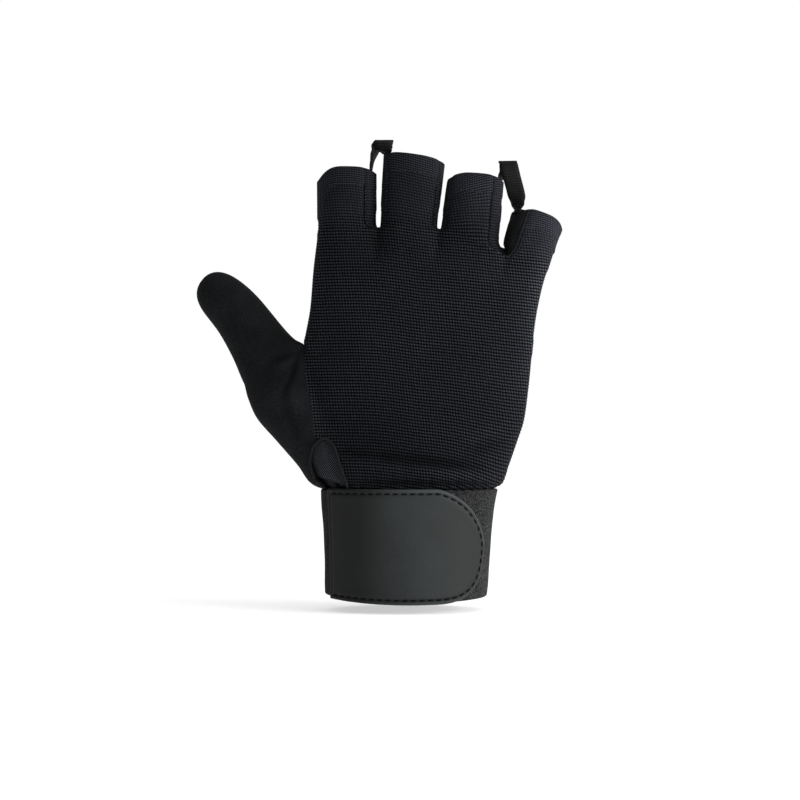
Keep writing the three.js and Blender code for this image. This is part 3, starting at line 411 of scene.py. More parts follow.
def handSide(rise, t, side):  # the hand's side over the thumb's fork, from its side seam, t = 0
    angle = mix(np.pi, seamAngle(forkRow, side), t)
    x = sectionX(forkRow, angle)
    cornerX = seamAt(forkRow, side)
    corner = rootPoint(forkRow, cornerX, seamAngle(forkRow, side), side)
    start = point(x, forkOval(x, side) + (corner[1] - forkOval(cornerX, side)) * t ** 2, forkZ)
    upper = upperPoint(side, rise, fingerStrip(0, side, indexShare * t, 0 * t), angle, start)
    return np.where((np.asarray(rise) == 0)[..., None], start, upper)


# ---- one net over the whole glove: pieces that meet share their corners, so their seams fit


class Net:
    def __init__(self):
        self.points, self.across, self.along, self.quads, self.owner = [], [], [], [], []
        self.count = 0

    def add(self, piece, columns, rows, pointAt, alongAt=None, acrossAt=None):
        t, up = np.meshgrid(columns, rows)
        places = pointAt(t, up)
        self.points.append(places.reshape(-1, 3))
        along = places[..., 2] if alongAt is None else alongAt(t, up, places)
        across = places[..., 0] if acrossAt is None else acrossAt(t, up, places)
        self.along.append(along.ravel())
        self.across.append(across.ravel())
        ids = np.arange(t.size).reshape(t.shape) + self.count
        quads = np.stack([ids[:-1, :-1], ids[:-1, 1:], ids[1:, 1:], ids[1:, :-1]], axis=-1).reshape(-1, 4)
        self.quads.append(quads)
        self.owner += [piece] * len(quads)
        self.count += t.size

    def weld(self):
        points = np.concatenate(self.points)
        places = np.round(points * 500).astype(int)  # corners within 1/500 mm become one
        _, first, back = np.unique(places, axis=0, return_index=True, return_inverse=True)
        back = back.ravel()
        self.points = points[first]
        across, along = np.concatenate(self.across), np.concatenate(self.along)
        quads = np.concatenate(self.quads)
        self.cloths = np.stack([across[quads], along[quads]], axis=-1)
        self.along = along[first]
        self.quads = back[quads]
        self.owner = np.array(self.owner)
        a, b, c, d = [self.points[self.quads[:, i]] for i in range(4)]
        normal = np.cross(c - a, d - b)
        total = np.zeros_like(self.points)
        for i in range(4):
            np.add.at(total, self.quads[:, i], normal)
        self.normals = unit(total)


def spaced(count):
    return np.linspace(0, 1, count + 1)


grid = {"row": 0.34, "strip": 20, "side": 7, "wall": 10, "thumb": 26}
if not fine:
    grid = {"row": 1.2, "strip": 8, "side": 3, "wall": 4, "thumb": 10}


def rowsOver(length, scale=1):
    return spaced(max(int(length / grid["row"] / scale), 4))


# the knit's rows: they fall to the little finger, and on the fingers they bow and lie closer together
rows = {
    "start": -26, "lean": 0.09, "reach": 34, "bow": (0.5, 0.4, 1.5, 0.8), "closer": 1.12,
    "corner": {"drop": 8.5, "from": 6, "reach": 42, "fade": 27},  # they fall more by the cuff's other side
}


def slopeOf(x, z):
    away = np.maximum(x - rows["start"], 0)
    corner = rows["corner"]
    sideways = ease((x - corner["from"]) / corner["reach"]) ** 1.2
    drop = corner["drop"] * sideways * np.exp(-np.maximum(z - cuff["height"], 0) / corner["fade"])
    return rows["lean"] * away * ease(away / rows["reach"]) + drop


def fingerLength(k):
    return finger["length"] * fingers[k]["long"]


def fingerUps(k, scale=1):  # rows up a finger, closer in the round of its fork
    length = fingerLength(k)
    return np.unique(np.concatenate([rowsOver(length, scale), finger["fork"] / length * spaced(6) ** 2]))


sleeveFoot = cuff["height"] - cuff["tuck"]
glove = Net()
for side, panel, coarse in ((-1, "back", 1), (1, "palm", 2.5)):
    def turned(fn, side=side):
        return (lambda t, up: fn(t, up)) if side < 0 else (lambda t, up: fn(1 - t, up))

    def knitAlong(t, up, places):
        return places[..., 2] + slopeOf(places[..., 0], places[..., 2])

    handRows = sleeveFoot + (forkZ - sleeveFoot) * rowsOver(forkZ - sleeveFoot, coarse)
    handRows = np.unique(np.concatenate([handRows, neckFoot + hand["neckRise"] * spaced(10) ** 2]))
    riseRows = rowsOver(50, coarse)
    strip = spaced(grid["strip"])
    for k in range(4):
        low = turned(lambda t, z, k=k: handFromRoot(rootRow(z), side, k, t))
        high = turned(lambda t, rise, k=k: handUpper(k, side, t, rise))
        glove.add(panel, strip, handRows, low, knitAlong)
        glove.add(panel, strip, riseRows, high, knitAlong)
        columns = strip
        if k == 0:  # the index finger's back takes in the hand's side
            rest = indexShare + (1 - indexShare) * strip[1:]
            columns = np.concatenate([indexShare * spaced(grid["side"]), rest])
            columns = columns if side < 0 else 1 - columns[::-1]

        def fingerAlong(t, up, places, k=k):
            base = fingerStrip(k, side, t if side < 0 else 1 - t, 0 * t)
            bow = rows["bow"][k] * (1 - (2 * t - 1) ** 2) * ease(up * 3)
            rise = up * fingerLength(k) * rows["closer"]
            return base[..., 2] + slopeOf(base[..., 0], base[..., 2]) + rise - bow

        ups = fingerUps(k, coarse)
        glove.add(panel, columns, ups, turned(lambda t, up, k=k: fingerStrip(k, side, t, up)), fingerAlong)
    overThumb = turned(lambda t, rise: handSide(rise, t, side))
    glove.add(panel, spaced(grid["side"]), riseRows, overThumb, knitAlong)

wallNames = ("forkIndexMiddle", "forkMiddleRing", "forkRingLittle")
for k, name in enumerate(wallNames):
    wall = spaced(grid["wall"])
    glove.add(name, wall, fingerUps(k), lambda t, up, k=k: fingerWall(k, True, t, up))
    glove.add(name, wall, fingerUps(k + 1), lambda t, up, k=k: fingerWall(k + 1, False, 1 - t, up))
thumbRows = 1 - (1 - spaced(90 if fine else 24)) ** 1.35
glove.add("thumb", spaced(2 * grid["thumb"]), handRows, lambda t, z: thumbFromRoot(rootRow(z), 1 - t))
glove.add("thumb", spaced(2 * grid["thumb"]), thumbRows, lambda t, s: thumbOuter(1 - t, s))
glove.add("thumb", spaced(2 * grid["side"]), thumbRows, thumbInner)
glove.weld()
print("net:", len(glove.points), "corners,", len(glove.quads), "quads")


# ---- the outer face: seams, hems, folds and gathers, as heights along the normals

cloth = {
    "courses": 1.3, "ribHeight": 0.11, "seamDip": 0.2, "seamWidth": 0.9, "pillow": 0.28, "pillowAway": 2.4,
    "gatherHeight": 0.16, "gatherPitch": 5.6, "gatherFade": 4.5, "wall": 1.25, "drawn": 0.1,
}
# valleys (down) and ridges (up) of the loose cloth: from x, z, to x, z, height, width
creases = [
    (-45.2, 106.6, -53.3, 86, -1.7, 1.3), (-46.5, 106, -61, 101.8, -1.5, 1.5),
    (-47, 104.9, -57.5, 99.4, 0.95, 1.8), (-50, 103, -60.5, 94.5, 0.45, 2.2), (-51, 99, -46.5, 78, 0.7, 1.9),
    (-53, 86, -44, 64, -0.7, 2.0), (-56, 92, -62, 82, 0.4, 3.2), (-30, 64.2, -4, 62, -0.9, 1.8),
    (-10, 62.2, 33, 57.2, -1.7, 2.3), (-24, 59, 8, 55.6, 0.6, 2.2), (4, 56.8, 38, 53, 0.95, 2.0),
    (26, 64, 44, 70, -0.6, 2.6), (20, 68, 44, 76, 0.4, 3.0), (-24, 51.2, 4, 50.6, -0.7, 1.5),
    (-6, 51, 40, 50, -1.1, 1.6), (-62, 118, -70, 112, -0.45, 2.6), (-66, 124, -58, 112, 0.4, 4),
]


def creaseHeight(p):
    total = 0
    for fromX, fromZ, toX, toZ, height, width in creases:
        way = np.array([toX - fromX, toZ - fromZ], float)
        t = np.clip(((p[:, 0] - fromX) * way[0] + (p[:, 2] - fromZ) * way[1]) / (way @ way), 0, 1)
        away = np.hypot(p[:, 0] - fromX - t * way[0], p[:, 2] - fromZ - t * way[1])
        total = total + height * np.sin(np.pi * mix(0.14, 1, t)) * bump(away, width)
    return total * (p[:, 1] < 4)


# places where the cloth is painted lighter or darker, as painted light and shade: x, z, reach across and up,
# how much
paintedLightSpots = [
    (-41, 114, 5.5, 40, 0.5), (-41, 166, 5.5, 24, 0.75), (60, 124, 9.5, 42, 1.5), (64, 165, 12, 16, 0.45),
    (30, 184, 20, 16, 0.25), (32, 172, 13, 14, 0.4), (-3, 166, 4, 12, 0.3), (16, 155, 6, 10, 0.3),
    (-10, 192, 40, 14, 0.1), (-27, 174, 10, 20, -0.16), (2, 180, 11, 18, -0.06), (-8, 150, 42, 9, -0.2),
    (46, 157, 5.5, 15, 1.25), (57, 160, 5, 9, -0.2), (-12, 66, 24, 16, -0.3), (38, 110, 16, 40, 0.1),
    (-64, 128, 8, 8, -0.36), (-55, 114, 9, 10, -0.52), (-51, 98, 9, 11, -0.3), (-53, 70, 13, 14, 0.6),
    (-43, 58, 9, 8, 0.35), (-81, 122, 8, 14, 0.35), (-37, 24, 5, 40, -0.72), (38, 30, 8, 30, 0.2),
    (38, 4, 8, 18, 0.6),
]


def paintedLightAt(p):
    total = 0
    for x, z, wide, high, more in paintedLightSpots:
        total = total + more * bump(p[:, 0] - x, wide) * bump(p[:, 2] - z, high)
    return total


def edgesOf(quads):  # edges that only one quad has, in its direction
    pairs = np.concatenate([quads[:, [i, (i + 1) % 4]] for i in range(4)])
    pairs = pairs[pairs[:, 0] != pairs[:, 1]]
    size = quads.max() + 1
    return pairs[~np.isin(pairs[:, 0] * size + pairs[:, 1], pairs[:, 1] * size + pairs[:, 0])]


def treeOf(points):  # to find the nearest of these points
    tree = KDTree(len(points))
    for i, place in enumerate(points):
        tree.insert(place, i)
    tree.balance()
    return tree


def distanceTo(points, targets, limit):
    tree = treeOf(targets)
    return np.minimum(np.array([tree.find(p)[2] for p in points]), limit)


owners = {name: np.unique(glove.quads[glove.owner == name]) for name in np.unique(glove.owner)}
shares = np.zeros(len(glove.points), int)
for used in owners.values():
    shares[used] += 1
rims = np.unique(edgesOf(glove.quads))
place = glove.points
fromSeam = distanceTo(place, place[shares > 1], 30)
fromRim = distanceTo(place, place[rims[place[rims, 2] > knuckleZ(place[rims, 0]) + 12]], 30)
onBack = np.zeros(len(place), bool)
onBack[owners["back"]] = True
hemmed = ease((finger["hemWidth"] - fromRim) / 0.9)
calmed = ease((place[:, 2] - knuckleZ(place[:, 0]) + 2) / 12)  # the rows show less on the fingers
aboveCuff = place[:, 2] - cuff["height"]
gather = np.sin(2 * np.pi * (place[:, 0] + 0.7 * waves(place, 4, 3, 30)) / cloth["gatherPitch"])
gather = (gather + 0.5 * np.sin(2 * np.pi * place[:, 0] / 3.7 + 1)) * ease((aboveCuff + 1) / 2.5)
creased = creaseHeight(place)
paintedFoldShade = np.clip(-creased, -1, 1)  # painted shade in the folds and painted highlight on their crests: 1 deep in a fold, -1 on its crest
lowForm = (creased + 0.16 * waves(place, 3, 9, 26)
           + cloth["gatherHeight"] * gather * np.exp(-np.maximum(aboveCuff - 2, 0) / cloth["gatherFade"])
           - cloth["seamDip"] * bump(fromSeam, cloth["seamWidth"])
           + cloth["pillow"] * bump(fromSeam - cloth["pillowAway"], 1.6)
           + finger["hemRise"] * hemmed - 0.35 * bump(fromRim - finger["hemWidth"] + 0.9, 0.55))
rib = np.cos(2 * np.pi * glove.along / cloth["courses"]) * cloth["ribHeight"]
rib = rib * onBack * ease((fromSeam - 0.4) / 1.2) * (1 - 0.8 * hemmed)
glove.outer = place + glove.normals * (lowForm + rib)[:, None]
glove.inside = place + glove.normals * (lowForm - cloth["wall"] - finger["hemRise"] * hemmed)[:, None]
print("cloth shaped")


# ---- meshes


def newPiece(name, points, faces, material, replaces=(), uv=None):
    mesh = bpy.data.meshes.new(name)
    sizes = np.array([len(face) for face in faces])
    loops = np.concatenate([np.asarray(face) for face in faces])
    mesh.vertices.add(len(points))
    mesh.vertices.foreach_set("co", (np.asarray(points, float) * mm).ravel())
    mesh.loops.add(len(loops))
    mesh.loops.foreach_set("vertex_index", loops.astype(np.int32))
    mesh.polygons.add(len(sizes))
    mesh.polygons.foreach_set("loop_start", np.concatenate([[0], np.cumsum(sizes)[:-1]]).astype(np.int32))
    mesh.update(calc_edges=True)
    if uv is not None:  # millimetres along and across the cloth, for every face's corners
        mesh.uv_layers.new(name="cloth").uv.foreach_set("vector", np.asarray(uv, float).ravel())
    mesh.shade_smooth()
    mesh.materials.append(material)
    piece = bpy.data.objects.new(name, mesh)
    scene.collection.objects.link(piece)
    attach(piece, "root")
    if replaces:
        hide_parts(*replaces)
    return piece


def addMark(piece, name, values):
    made = piece.data.attributes.new(name, "FLOAT", "POINT")
    made.data.foreach_set("value", np.asarray(values, np.float32))


def closedCloth(quads, cloths, outer, inside, bulge):  # outer face, inner face and rounded edges between them
    used, back = np.unique(quads, return_inverse=True)
    quads = back.reshape(quads.shape)
    count = len(used)
    edges = edgesOf(quads)
    points = [outer[used], inside[used]]
    uvs = [cloths.reshape(-1, 2), cloths[:, ::-1].reshape(-1, 2)]
    faces = [quads, quads[:, ::-1] + count]
    # edge loops: each step bulges out, square to the edge
    start, end = edges[:, 0], edges[:, 1]
    normal = unit(points[0] - points[1])
    square = np.zeros((count, 3))
    way = points[0][end] - points[0][start]
    for i in (start, end):
        np.add.at(square, i, np.cross(way, normal[i]))
    square = unit(square)
    border = np.unique(edges)
    index = np.full(count, -1)
    index[border] = np.arange(len(border))
    rows = [border]
    total = 2 * count
    for share in (0.25, 0.5, 0.75):
        out = bulge * math.sin(math.pi * share)
        points.append(mix(points[0][border], points[1][border], share) + square[border] * out)
        rows.append(np.arange(len(border)) + total)
        total += len(border)
    rows.append(border + count)
    a, b = index[start], index[end]
    _, firstUse = np.unique(quads, return_index=True)
    edgeCloths = cloths.reshape(-1, 2)[firstUse][np.stack([end, start, start, end], axis=-1)].reshape(-1, 2)
    for first, second in zip(rows, rows[1:]):
        faces.append(np.stack([first[b], first[a], second[a], second[b]], axis=-1))
        uvs.append(edgeCloths)
    return np.concatenate(points), np.concatenate(faces), np.concatenate(uvs), used


def dropFlat(faces, uv):  # a quad with a doubled corner becomes a triangle
    kept, corners = [], []
    for face, cornerUv in zip(faces.tolist(), uv.reshape(-1, 4, 2)):
        seen = [i for i in range(4) if face[i] not in face[:i]]
        if len(seen) >= 3:
            kept.append([face[i] for i in seen])
            corners.append(cornerUv[seen])
    return kept, np.concatenate(corners)


def gridFaces(rows, columns, closedRows=False, closedColumns=False):
    r = np.arange(rows if closedRows else rows - 1)
    c = np.arange(columns if closedColumns else columns - 1)
    a, b = np.meshgrid(r, c, indexing="ij")
    a2, b2 = (a + 1) % rows, (b + 1) % columns
    ids = [a * columns + b, a * columns + b2, a2 * columns + b2, a2 * columns + b]
    return np.stack(ids, axis=-1).reshape(-1, 4)


def loftPiece(name, sections, material, replaces=(), closed=False):  # rings, joined; ends filled
    sections = np.asarray(sections, float)
    rows, columns = sections.shape[:2]
    faces = gridFaces(rows, columns, closed, True)
    u = np.concatenate([[0], np.cumsum(np.linalg.norm(np.diff(sections[rows // 2], axis=0), axis=1))])
    v = np.concatenate([[0], np.cumsum(np.linalg.norm(np.diff(sections.mean(axis=1), axis=0), axis=1))])
    around, alongIt = np.append(u, u[-1] + u[1]), np.append(v, v[-1] + v[1])
    a, b = np.divmod(np.arange(len(faces)), columns)
    corners = ((b, a), (b + 1, a), (b + 1, a + 1), (b, a + 1))
    uv = np.stack([np.stack([around[i], alongIt[j]], axis=-1) for i, j in corners], axis=1)
    faces, uv = faces.tolist(), list(uv.reshape(-1, 2))
    if not closed:
        ends = [list(range(columns))[::-1], list(range((rows - 1) * columns, rows * columns))]
        for end, row in zip(ends, (0, rows - 1)):
            faces.append(end)
            uv += [np.array([around[i % columns], alongIt[row]]) for i in end]
    return newPiece(name, sections.reshape(-1, 3), faces, material, replaces, np.array(uv))


def smoothLine(stops, shares, centripetal=True):  # a Catmull-Rom line through the stops
    stops = np.asarray(stops, float)
    first, last = 2 * stops[0] - stops[1], 2 * stops[-1] - stops[-2]
    padded = np.vstack([first, stops, last])
    places = np.clip(np.asarray(shares) * (len(stops) - 1), 0, len(stops) - 1 - 1e-9)
    result = []
    for value in places:
        i = int(value)
        p0, p1, p2, p3 = padded[i:i + 4]
        power = 0.5 if centripetal else 0
        d1, d2, d3 = [max(np.linalg.norm(b - a) ** power, 1e-6) for a, b in ((p0, p1), (p1, p2), (p2, p3))]
        m1 = ((p1 - p0) / d1 - (p2 - p0) / (d1 + d2) + (p2 - p1) / d2) * d2
        m2 = ((p2 - p1) / d2 - (p3 - p1) / (d2 + d3) + (p3 - p2) / d3) * d2
        t = value - i
        cubic, square = 2 * p1 - 2 * p2 + m1 + m2, -3 * p1 + 3 * p2 - 2 * m1 - m2
        result.append(cubic * t ** 3 + square * t ** 2 + m1 * t + p1)
    return np.array(result)


def tubeRings(path, normals, radius, sides=10):
    path = np.asarray(path, float)
    tangent = unit(np.gradient(path, axis=0))
    side = unit(np.cross(tangent, normals))
    up = np.cross(side, tangent)
    turn = np.linspace(0, 2 * np.pi, sides, endpoint=False)[None, :, None]
    return path[:, None] + radius * (side[:, None] * np.cos(turn) + up[:, None] * np.sin(turn))


def evenly(path, step):  # places a step apart along a line of points
    length = np.concatenate([[0], np.cumsum(np.linalg.norm(np.diff(path, axis=0), axis=1))])
    at = np.arange(step / 2, length[-1], step)
    return np.stack([np.interp(at, length, path[:, i]) for i in range(path.shape[1])], axis=-1)


def stitchRow(name, path, normals, look, material):  # short lengths of thread, one after the other
    both = evenly(np.hstack([path, normals]), look["pitch"])
    middles, ups = both[:, :3], unit(both[:, 3:])
    ways = unit(np.gradient(middles, axis=0))
    points, faces = [], []
    sides = 6
    shape = [(-0.5, -1.0, 0.35), (-0.47, -0.2, 0.8), (-0.3, 0.55, 1.0), (0, 0.8, 1.0), (0.3, 0.55, 1.0),
             (0.47, -0.2, 0.8), (0.5, -1.0, 0.35)]  # along, up, wide
    for middle, up, way in zip(middles, ups, ways):
        across = unit(np.cross(way, up))
        base = len(points)
        for share, lift, wide in shape:
            centre = middle + way * share * look["length"] + up * lift * look["thick"] * 0.5
            for k in range(sides):
                turn = 2 * math.pi * k / sides
                out = across * math.cos(turn) + up * math.sin(turn)
                points.append(centre + wide * look["thick"] / 2 * out)
        faces += (gridFaces(len(shape), sides, False, True) + base).tolist()
        last = len(points) - sides
        faces += [[base + k for k in range(sides)][::-1], [last + k for k in range(sides)]]
    return newPiece(name, points, faces, material)


# ---- materials


class Value:  # one number of a material, with plain arithmetic
    def __init__(self, finish, socket):
        self.finish, self.socket = finish, socket

    def math(self, operation, *others):
        values = dict(enumerate([other.socket if isinstance(other, Value) else other for other in others]))
        return Value(self.finish, self.finish.node("Math", {"operation": operation}, values).outputs[0])

    def __add__(self, other):
        return self.math("ADD", self, other)

    def __radd__(self, other):
        return self.math("ADD", other, self)

    def __sub__(self, other):
        return self.math("SUBTRACT", self, other)

    def __rsub__(self, other):
        return self.math("SUBTRACT", other, self)

    def __mul__(self, other):
        return self.math("MULTIPLY", self, other)

    def __rmul__(self, other):
        return self.math("MULTIPLY", other, self)

    def __pow__(self, other):
        return self.math("POWER", self, other)

    def most(self, other):
        return self.math("MAXIMUM", self, other)

    def crest(self, length):
        return self.math("COSINE", self * (2 * math.pi / length)) * 0.5 + 0.5

    def zigzag(self, height):
        return self.math("PINGPONG", self, height)

    def within(self, length):  # -0.5 to 0.5 in each length
        return self.math("FRACT", self * (1 / length) + 0.5) - 0.5


class Nodes:
    def __init__(self, tree):
        self.tree = tree

    def node(self, kind, settings, sockets):
        made = self.tree.nodes.new("ShaderNode" + kind)
        for setting, value in settings.items():
            setattr(made, setting, value)
        for socket, value in sockets.items():
            if isinstance(value, Value):
                value = value.socket
            if isinstance(value, bpy.types.NodeSocket):
                self.tree.links.new(value, made.inputs[socket])
            else:
                made.inputs[socket].default_value = value
        return made


class Finish(Nodes):
    def __init__(self, name, **shader):
        self.material = bpy.data.materials.new(name)
        self.material.use_nodes = True
        super().__init__(self.material.node_tree)
        self.shader = self.tree.nodes["Principled BSDF"]
        for socket, value in shader.items():
            self.shader.inputs[socket.replace("_", " ")].default_value = value

    def cloth(self):  # millimetres across and along the cloth
        split = self.node("SeparateXYZ", {}, {0: self.node("UVMap", {"uv_map": "cloth"}, {}).outputs[0]})
        return Value(self, split.outputs[0]), Value(self, split.outputs[1])

    def mark(self, name):
        return Value(self, self.node("Attribute", {"attribute_name": name}, {}).outputs["Fac"])

    def noise(self, perMm, detail=2.0, roughness=0.5):
        place = self.node("TexCoord", {}, {}).outputs["Object"]
        sockets = {"Vector": place, "Scale": perMm * 1000, "Detail": detail, "Roughness": roughness}
        return Value(self, self.node("TexNoise", {}, sockets).outputs[0])

    def grain(self, perMm):
        place = self.node("TexCoord", {}, {}).outputs["Object"]
        return Value(self, self.node("TexVoronoi", {}, {"Vector": place, "Scale": perMm * 1000}).outputs[0])

    def colour(self, share, look):
        sockets = {0: share.most(0), 6: (*look["dark"], 1), 7: (*look["light"], 1)}
        made = self.node("Mix", {"data_type": "RGBA", "clamp_factor": False}, sockets)
        self.tree.links.new(made.outputs[2], self.shader.inputs["Base Color"])

    def rough(self, share, low, high):
        spread = share * (high - low) + low
        self.tree.links.new(spread.socket, self.shader.inputs["Roughness"])

    def bump(self, height, distance):
        made = self.node("Bump", {}, {"Height": height, "Distance": distance * mm})
        self.tree.links.new(made.outputs[0], self.shader.inputs["Normal"])
        return self.material


def knitFinish(name, look):
    f = Finish(name, Specular_IOR_Level=0.04, Sheen_Weight=0.01, Sheen_Roughness=0.5)
    across, along = f.cloth()
    hem = f.mark("hem")
    drift = (f.noise(0.3) - 0.5) * 0.55
    jitter = (f.noise(1.1) - 0.5) * 0.6
    course = along + drift * 0.6
    ridge = course.crest(look["course"])
    skew = course * look["lean"] + course.within(look["course"]) * look["slant"]
    loop = (across + skew + drift + jitter).crest(look["loop"])
    fuzz = f.noise(2.6, 3.0, 0.6)
    # the fold mark paints shade into folds and a highlight on their crests
    low = f.mark("fold")
    calm = f.mark("calm")
    beads = ridge * (loop * (1 - look["line"]) + look["line"]) * (1 - calm * 0.42) + calm * 0.135
    turned = course.crest(look["course"] * 0.8) * ((across + drift).crest(look["loop"] * 0.85) * 0.6 + 0.4)
    yarn = beads + (turned * 0.75 + 0.1 - beads) * hem
    patch = f.noise(0.045, 3.0)
    shown = (yarn * 1.2 + fuzz * 0.4 - 0.27) * (patch * 0.6 + 0.7) * (1 - low * 0.5)
    # painted light and shade from the spots' mark
    f.colour(shown * (f.mark("paintedLight") + 1), look)
    f.rough(yarn, 0.95, 0.72)
    return f.bump(yarn + fuzz * 0.4, look["relief"])


def suedeFinish(name, look):
    f = Finish(name, Specular_IOR_Level=look["gloss"], Sheen_Weight=look["sheen"], Sheen_Roughness=0.4)
    across, along = f.cloth()
    nap = f.noise(look["nap"], 4.0, 0.65)
    patch = f.noise(0.09, 3.0, 0.55)
    twill = (along + across * look["slant"] + (f.noise(0.5) - 0.5) * 0.5).crest(look["twill"])
    broken = twill * (f.noise(0.9) * 1.2 - 0.1)
    # the fold mark paints shade into folds and a highlight on their crests
    low = f.mark("fold")
    shown = (nap * 1.2 + patch * 0.6 + broken * look["twillShows"] - 0.65) * (1 - low * 0.6)
    # painted light and shade from the spots' mark
    f.colour(shown * (f.mark("paintedLight") + 1), look)
    f.rough(patch, 0.95, 0.75)
    return f.bump(nap * 0.6 + broken * look["twillShows"] * 1.6, look["relief"])


def elasticFinish(look):
    f = Finish("elastic", Specular_IOR_Level=0.1, Sheen_Weight=0.01, Sheen_Roughness=0.5)
    across, along = f.cloth()
    weft = across + (f.noise(0.8) - 0.5) * 0.5
    warp = along + (f.noise(0.6) - 0.5) * 0.5
    slanted = (weft + warp.zigzag(look["panel"]) * 0.9).crest(look["weft"])
    cords = warp.crest(look["warp"])
    fuzz = f.noise(1.5, 3.0, 0.7)
    weave = slanted * 0.5 + cords * slanted * 0.5
    specks = f.noise(look["specks"], 1.0, 0.5)
    shown = (specks - 0.5) * look["grain"] + fuzz * 0.4 + weave * 0.6 + f.noise(0.06, 2.0) * 0.3 - 0.3
    # painted light and shade from the spots' mark
    f.colour(shown * (f.mark("paintedLight") + 1), look)
    f.rough(weave, 0.97, 0.8)
    return f.bump(weave + fuzz * 0.8, look["relief"])


def leatherFinish(look):
    f = Finish("tabLeather", Specular_IOR_Level=0.22)
    cells = f.grain(look["grain"])
    pores = f.noise(4.5, 3.0, 0.6)
    patch = f.noise(0.05, 3.0, 0.5)
    # the edge mark paints a highlight along the tab's rim
    edge = f.mark("edge")
    # painted shade at both ends of the tab
    paintedEndShade = f.mark("paintedEndShade")
    f.colour((patch * 0.6 + cells * 0.2 + pores * 0.25) * paintedEndShade - 0.1 + edge * 0.4, look)
    f.rough(patch * 0.5 + pores * 0.5, 0.5, 0.68)
    return f.bump(cells * 0.5 + pores * 0.5, look["relief"])


def ribbedFinish(name, look):  # ribs across a ribbon, or round a cord
    f = Finish(name, Specular_IOR_Level=look["gloss"], Sheen_Weight=0.01, Sheen_Roughness=0.4)
    across, along = f.cloth()
    ribs = (along + across * look["slant"] + (f.noise(0.7) - 0.5) * 0.15).crest(look["rib"])
    fuzz = f.noise(3.2, 3.0, 0.6)
    f.colour((ribs - 0.5) * look["shows"] + fuzz * 0.5 + f.noise(0.12) * 0.3 + 0.05, look)
    f.rough(ribs, 0.85, 0.6)
    return f.bump(ribs + fuzz * 0.35, look["relief"])


knit = knitFinish("knit", {
    "course": cloth["courses"], "loop": 1.18, "lean": 0.1, "slant": 0.4, "line": 0.16, "relief": 0.25,
    "dark": (0.0007, 0.0008, 0.0011), "light": (0.0286, 0.0308, 0.0374)})
fineKnit = knitFinish("fineKnit", {
    "course": 1.2, "loop": 1.1, "lean": 0.3, "slant": 0.45, "line": 0.35, "relief": 0.16,
    "dark": (0.0016, 0.0017, 0.0022), "light": (0.0245, 0.0264, 0.0318)})
suede = suedeFinish("suede", {
    "nap": 1.7, "gloss": 0.07, "sheen": 0.01, "slant": 0.1, "twill": 0.9, "twillShows": 0.25, "relief": 0.14,
    "dark": (0.002, 0.002, 0.0023), "light": (0.0115, 0.0118, 0.0132)})
twill = suedeFinish("thumbTwill", {
    "nap": 1.6, "gloss": 0.06, "sheen": 0.01, "slant": -1.7, "twill": 1.55, "twillShows": 0.92,
    "relief": 0.25, "dark": (0.0018, 0.002, 0.0022), "light": (0.0112, 0.0122, 0.0134)})
elastic = elasticFinish({
    "weft": 0.85, "warp": 0.9, "panel": 2.4, "grain": 3.6, "specks": 2.3, "relief": 0.2,
    "dark": (0.004, 0.004, 0.004), "light": (0.05, 0.051, 0.0525)})
leather = leatherFinish({
    "grain": 2.2, "relief": 0.05, "dark": (0.0049, 0.0058, 0.0055), "light": (0.0305, 0.035, 0.0366)})
ribbedCloths = {  # rib, slant, how much it shows, gloss, relief, dark, light
    "ribbon": (0.72, 0, 0.9, 0.12, 0.2, (0.0025, 0.0026, 0.0025), (0.0165, 0.0172, 0.016)),
    "binding": (0.6, 0.6, 0.6, 0.12, 0.12, (0.004, 0.004, 0.0045), (0.016, 0.016, 0.0175)),
    "gusset": (0.85, -0.95, 1.15, 0.06, 0.35, (0.001, 0.001, 0.0015), (0.056, 0.0588, 0.0685)),
    "forkCord": (0.6, 0.6, 0.6, 0.12, 0.12, (0.005, 0.0053, 0.0062), (0.0225, 0.024, 0.0285)),
    "paleThread": (0.3, 0.5, 0.6, 0.1, 0.04, (0.016, 0.0165, 0.019), (0.034, 0.035, 0.039)),
    "darkThread": (0.3, 0.5, 0.6, 0.05, 0.04, (0.001, 0.001, 0.0012), (0.005, 0.005, 0.0055)),
}
ribbonCloth, cordCloth, gussetCloth, forkCord, paleThread, darkThread = [
    ribbedFinish(name, dict(zip(("rib", "slant", "shows", "gloss", "relief", "dark", "light"), row)))
    for name, row in ribbedCloths.items()]
print("materials made")


# ---- vent: where the panels are cut away, its binding and the gusset behind it

vent = {
    "width": 12.6, "height": 21.7, "foot": -31.5, "cord": 0.5, "hidden": 2, "deep": 1.9, "edge": 0.15,
    "outline": [(-0.6, 0.22), (-0.71, 0.4), (-0.76, 0.56), (-0.66, 0.82), (-0.38, 0.985), (-0.12, 0.965),
                (0.08, 0.82), (0.22, 0.56), (0.36, 0.33), (0.52, 0.05)],  # across, up
    "fold": {"height": 0.8, "at": 0.3, "slant": 0.35, "width": 0.09}, "swell": 0.7, "sunk": 1.1, "wall": 1.2,
}
ventStops = [(vent["foot"] + out * vent["width"], cuff["height"] + up * vent["height"])
             for out, up in vent["outline"]]
ventLine = smoothLine(ventStops, spaced(60), centripetal=False)
ventWay = unit(np.gradient(ventLine, axis=0))
ventCut = ventLine + np.stack([-ventWay[:, 1], ventWay[:, 0]], axis=-1) * vent["edge"]
belowCuff = cuff["height"] - 6
ventCut = np.vstack([ventCut, [ventCut[-1][0], belowCuff], [-34.2, belowCuff], [-35, cuff["height"] + 0.6]])


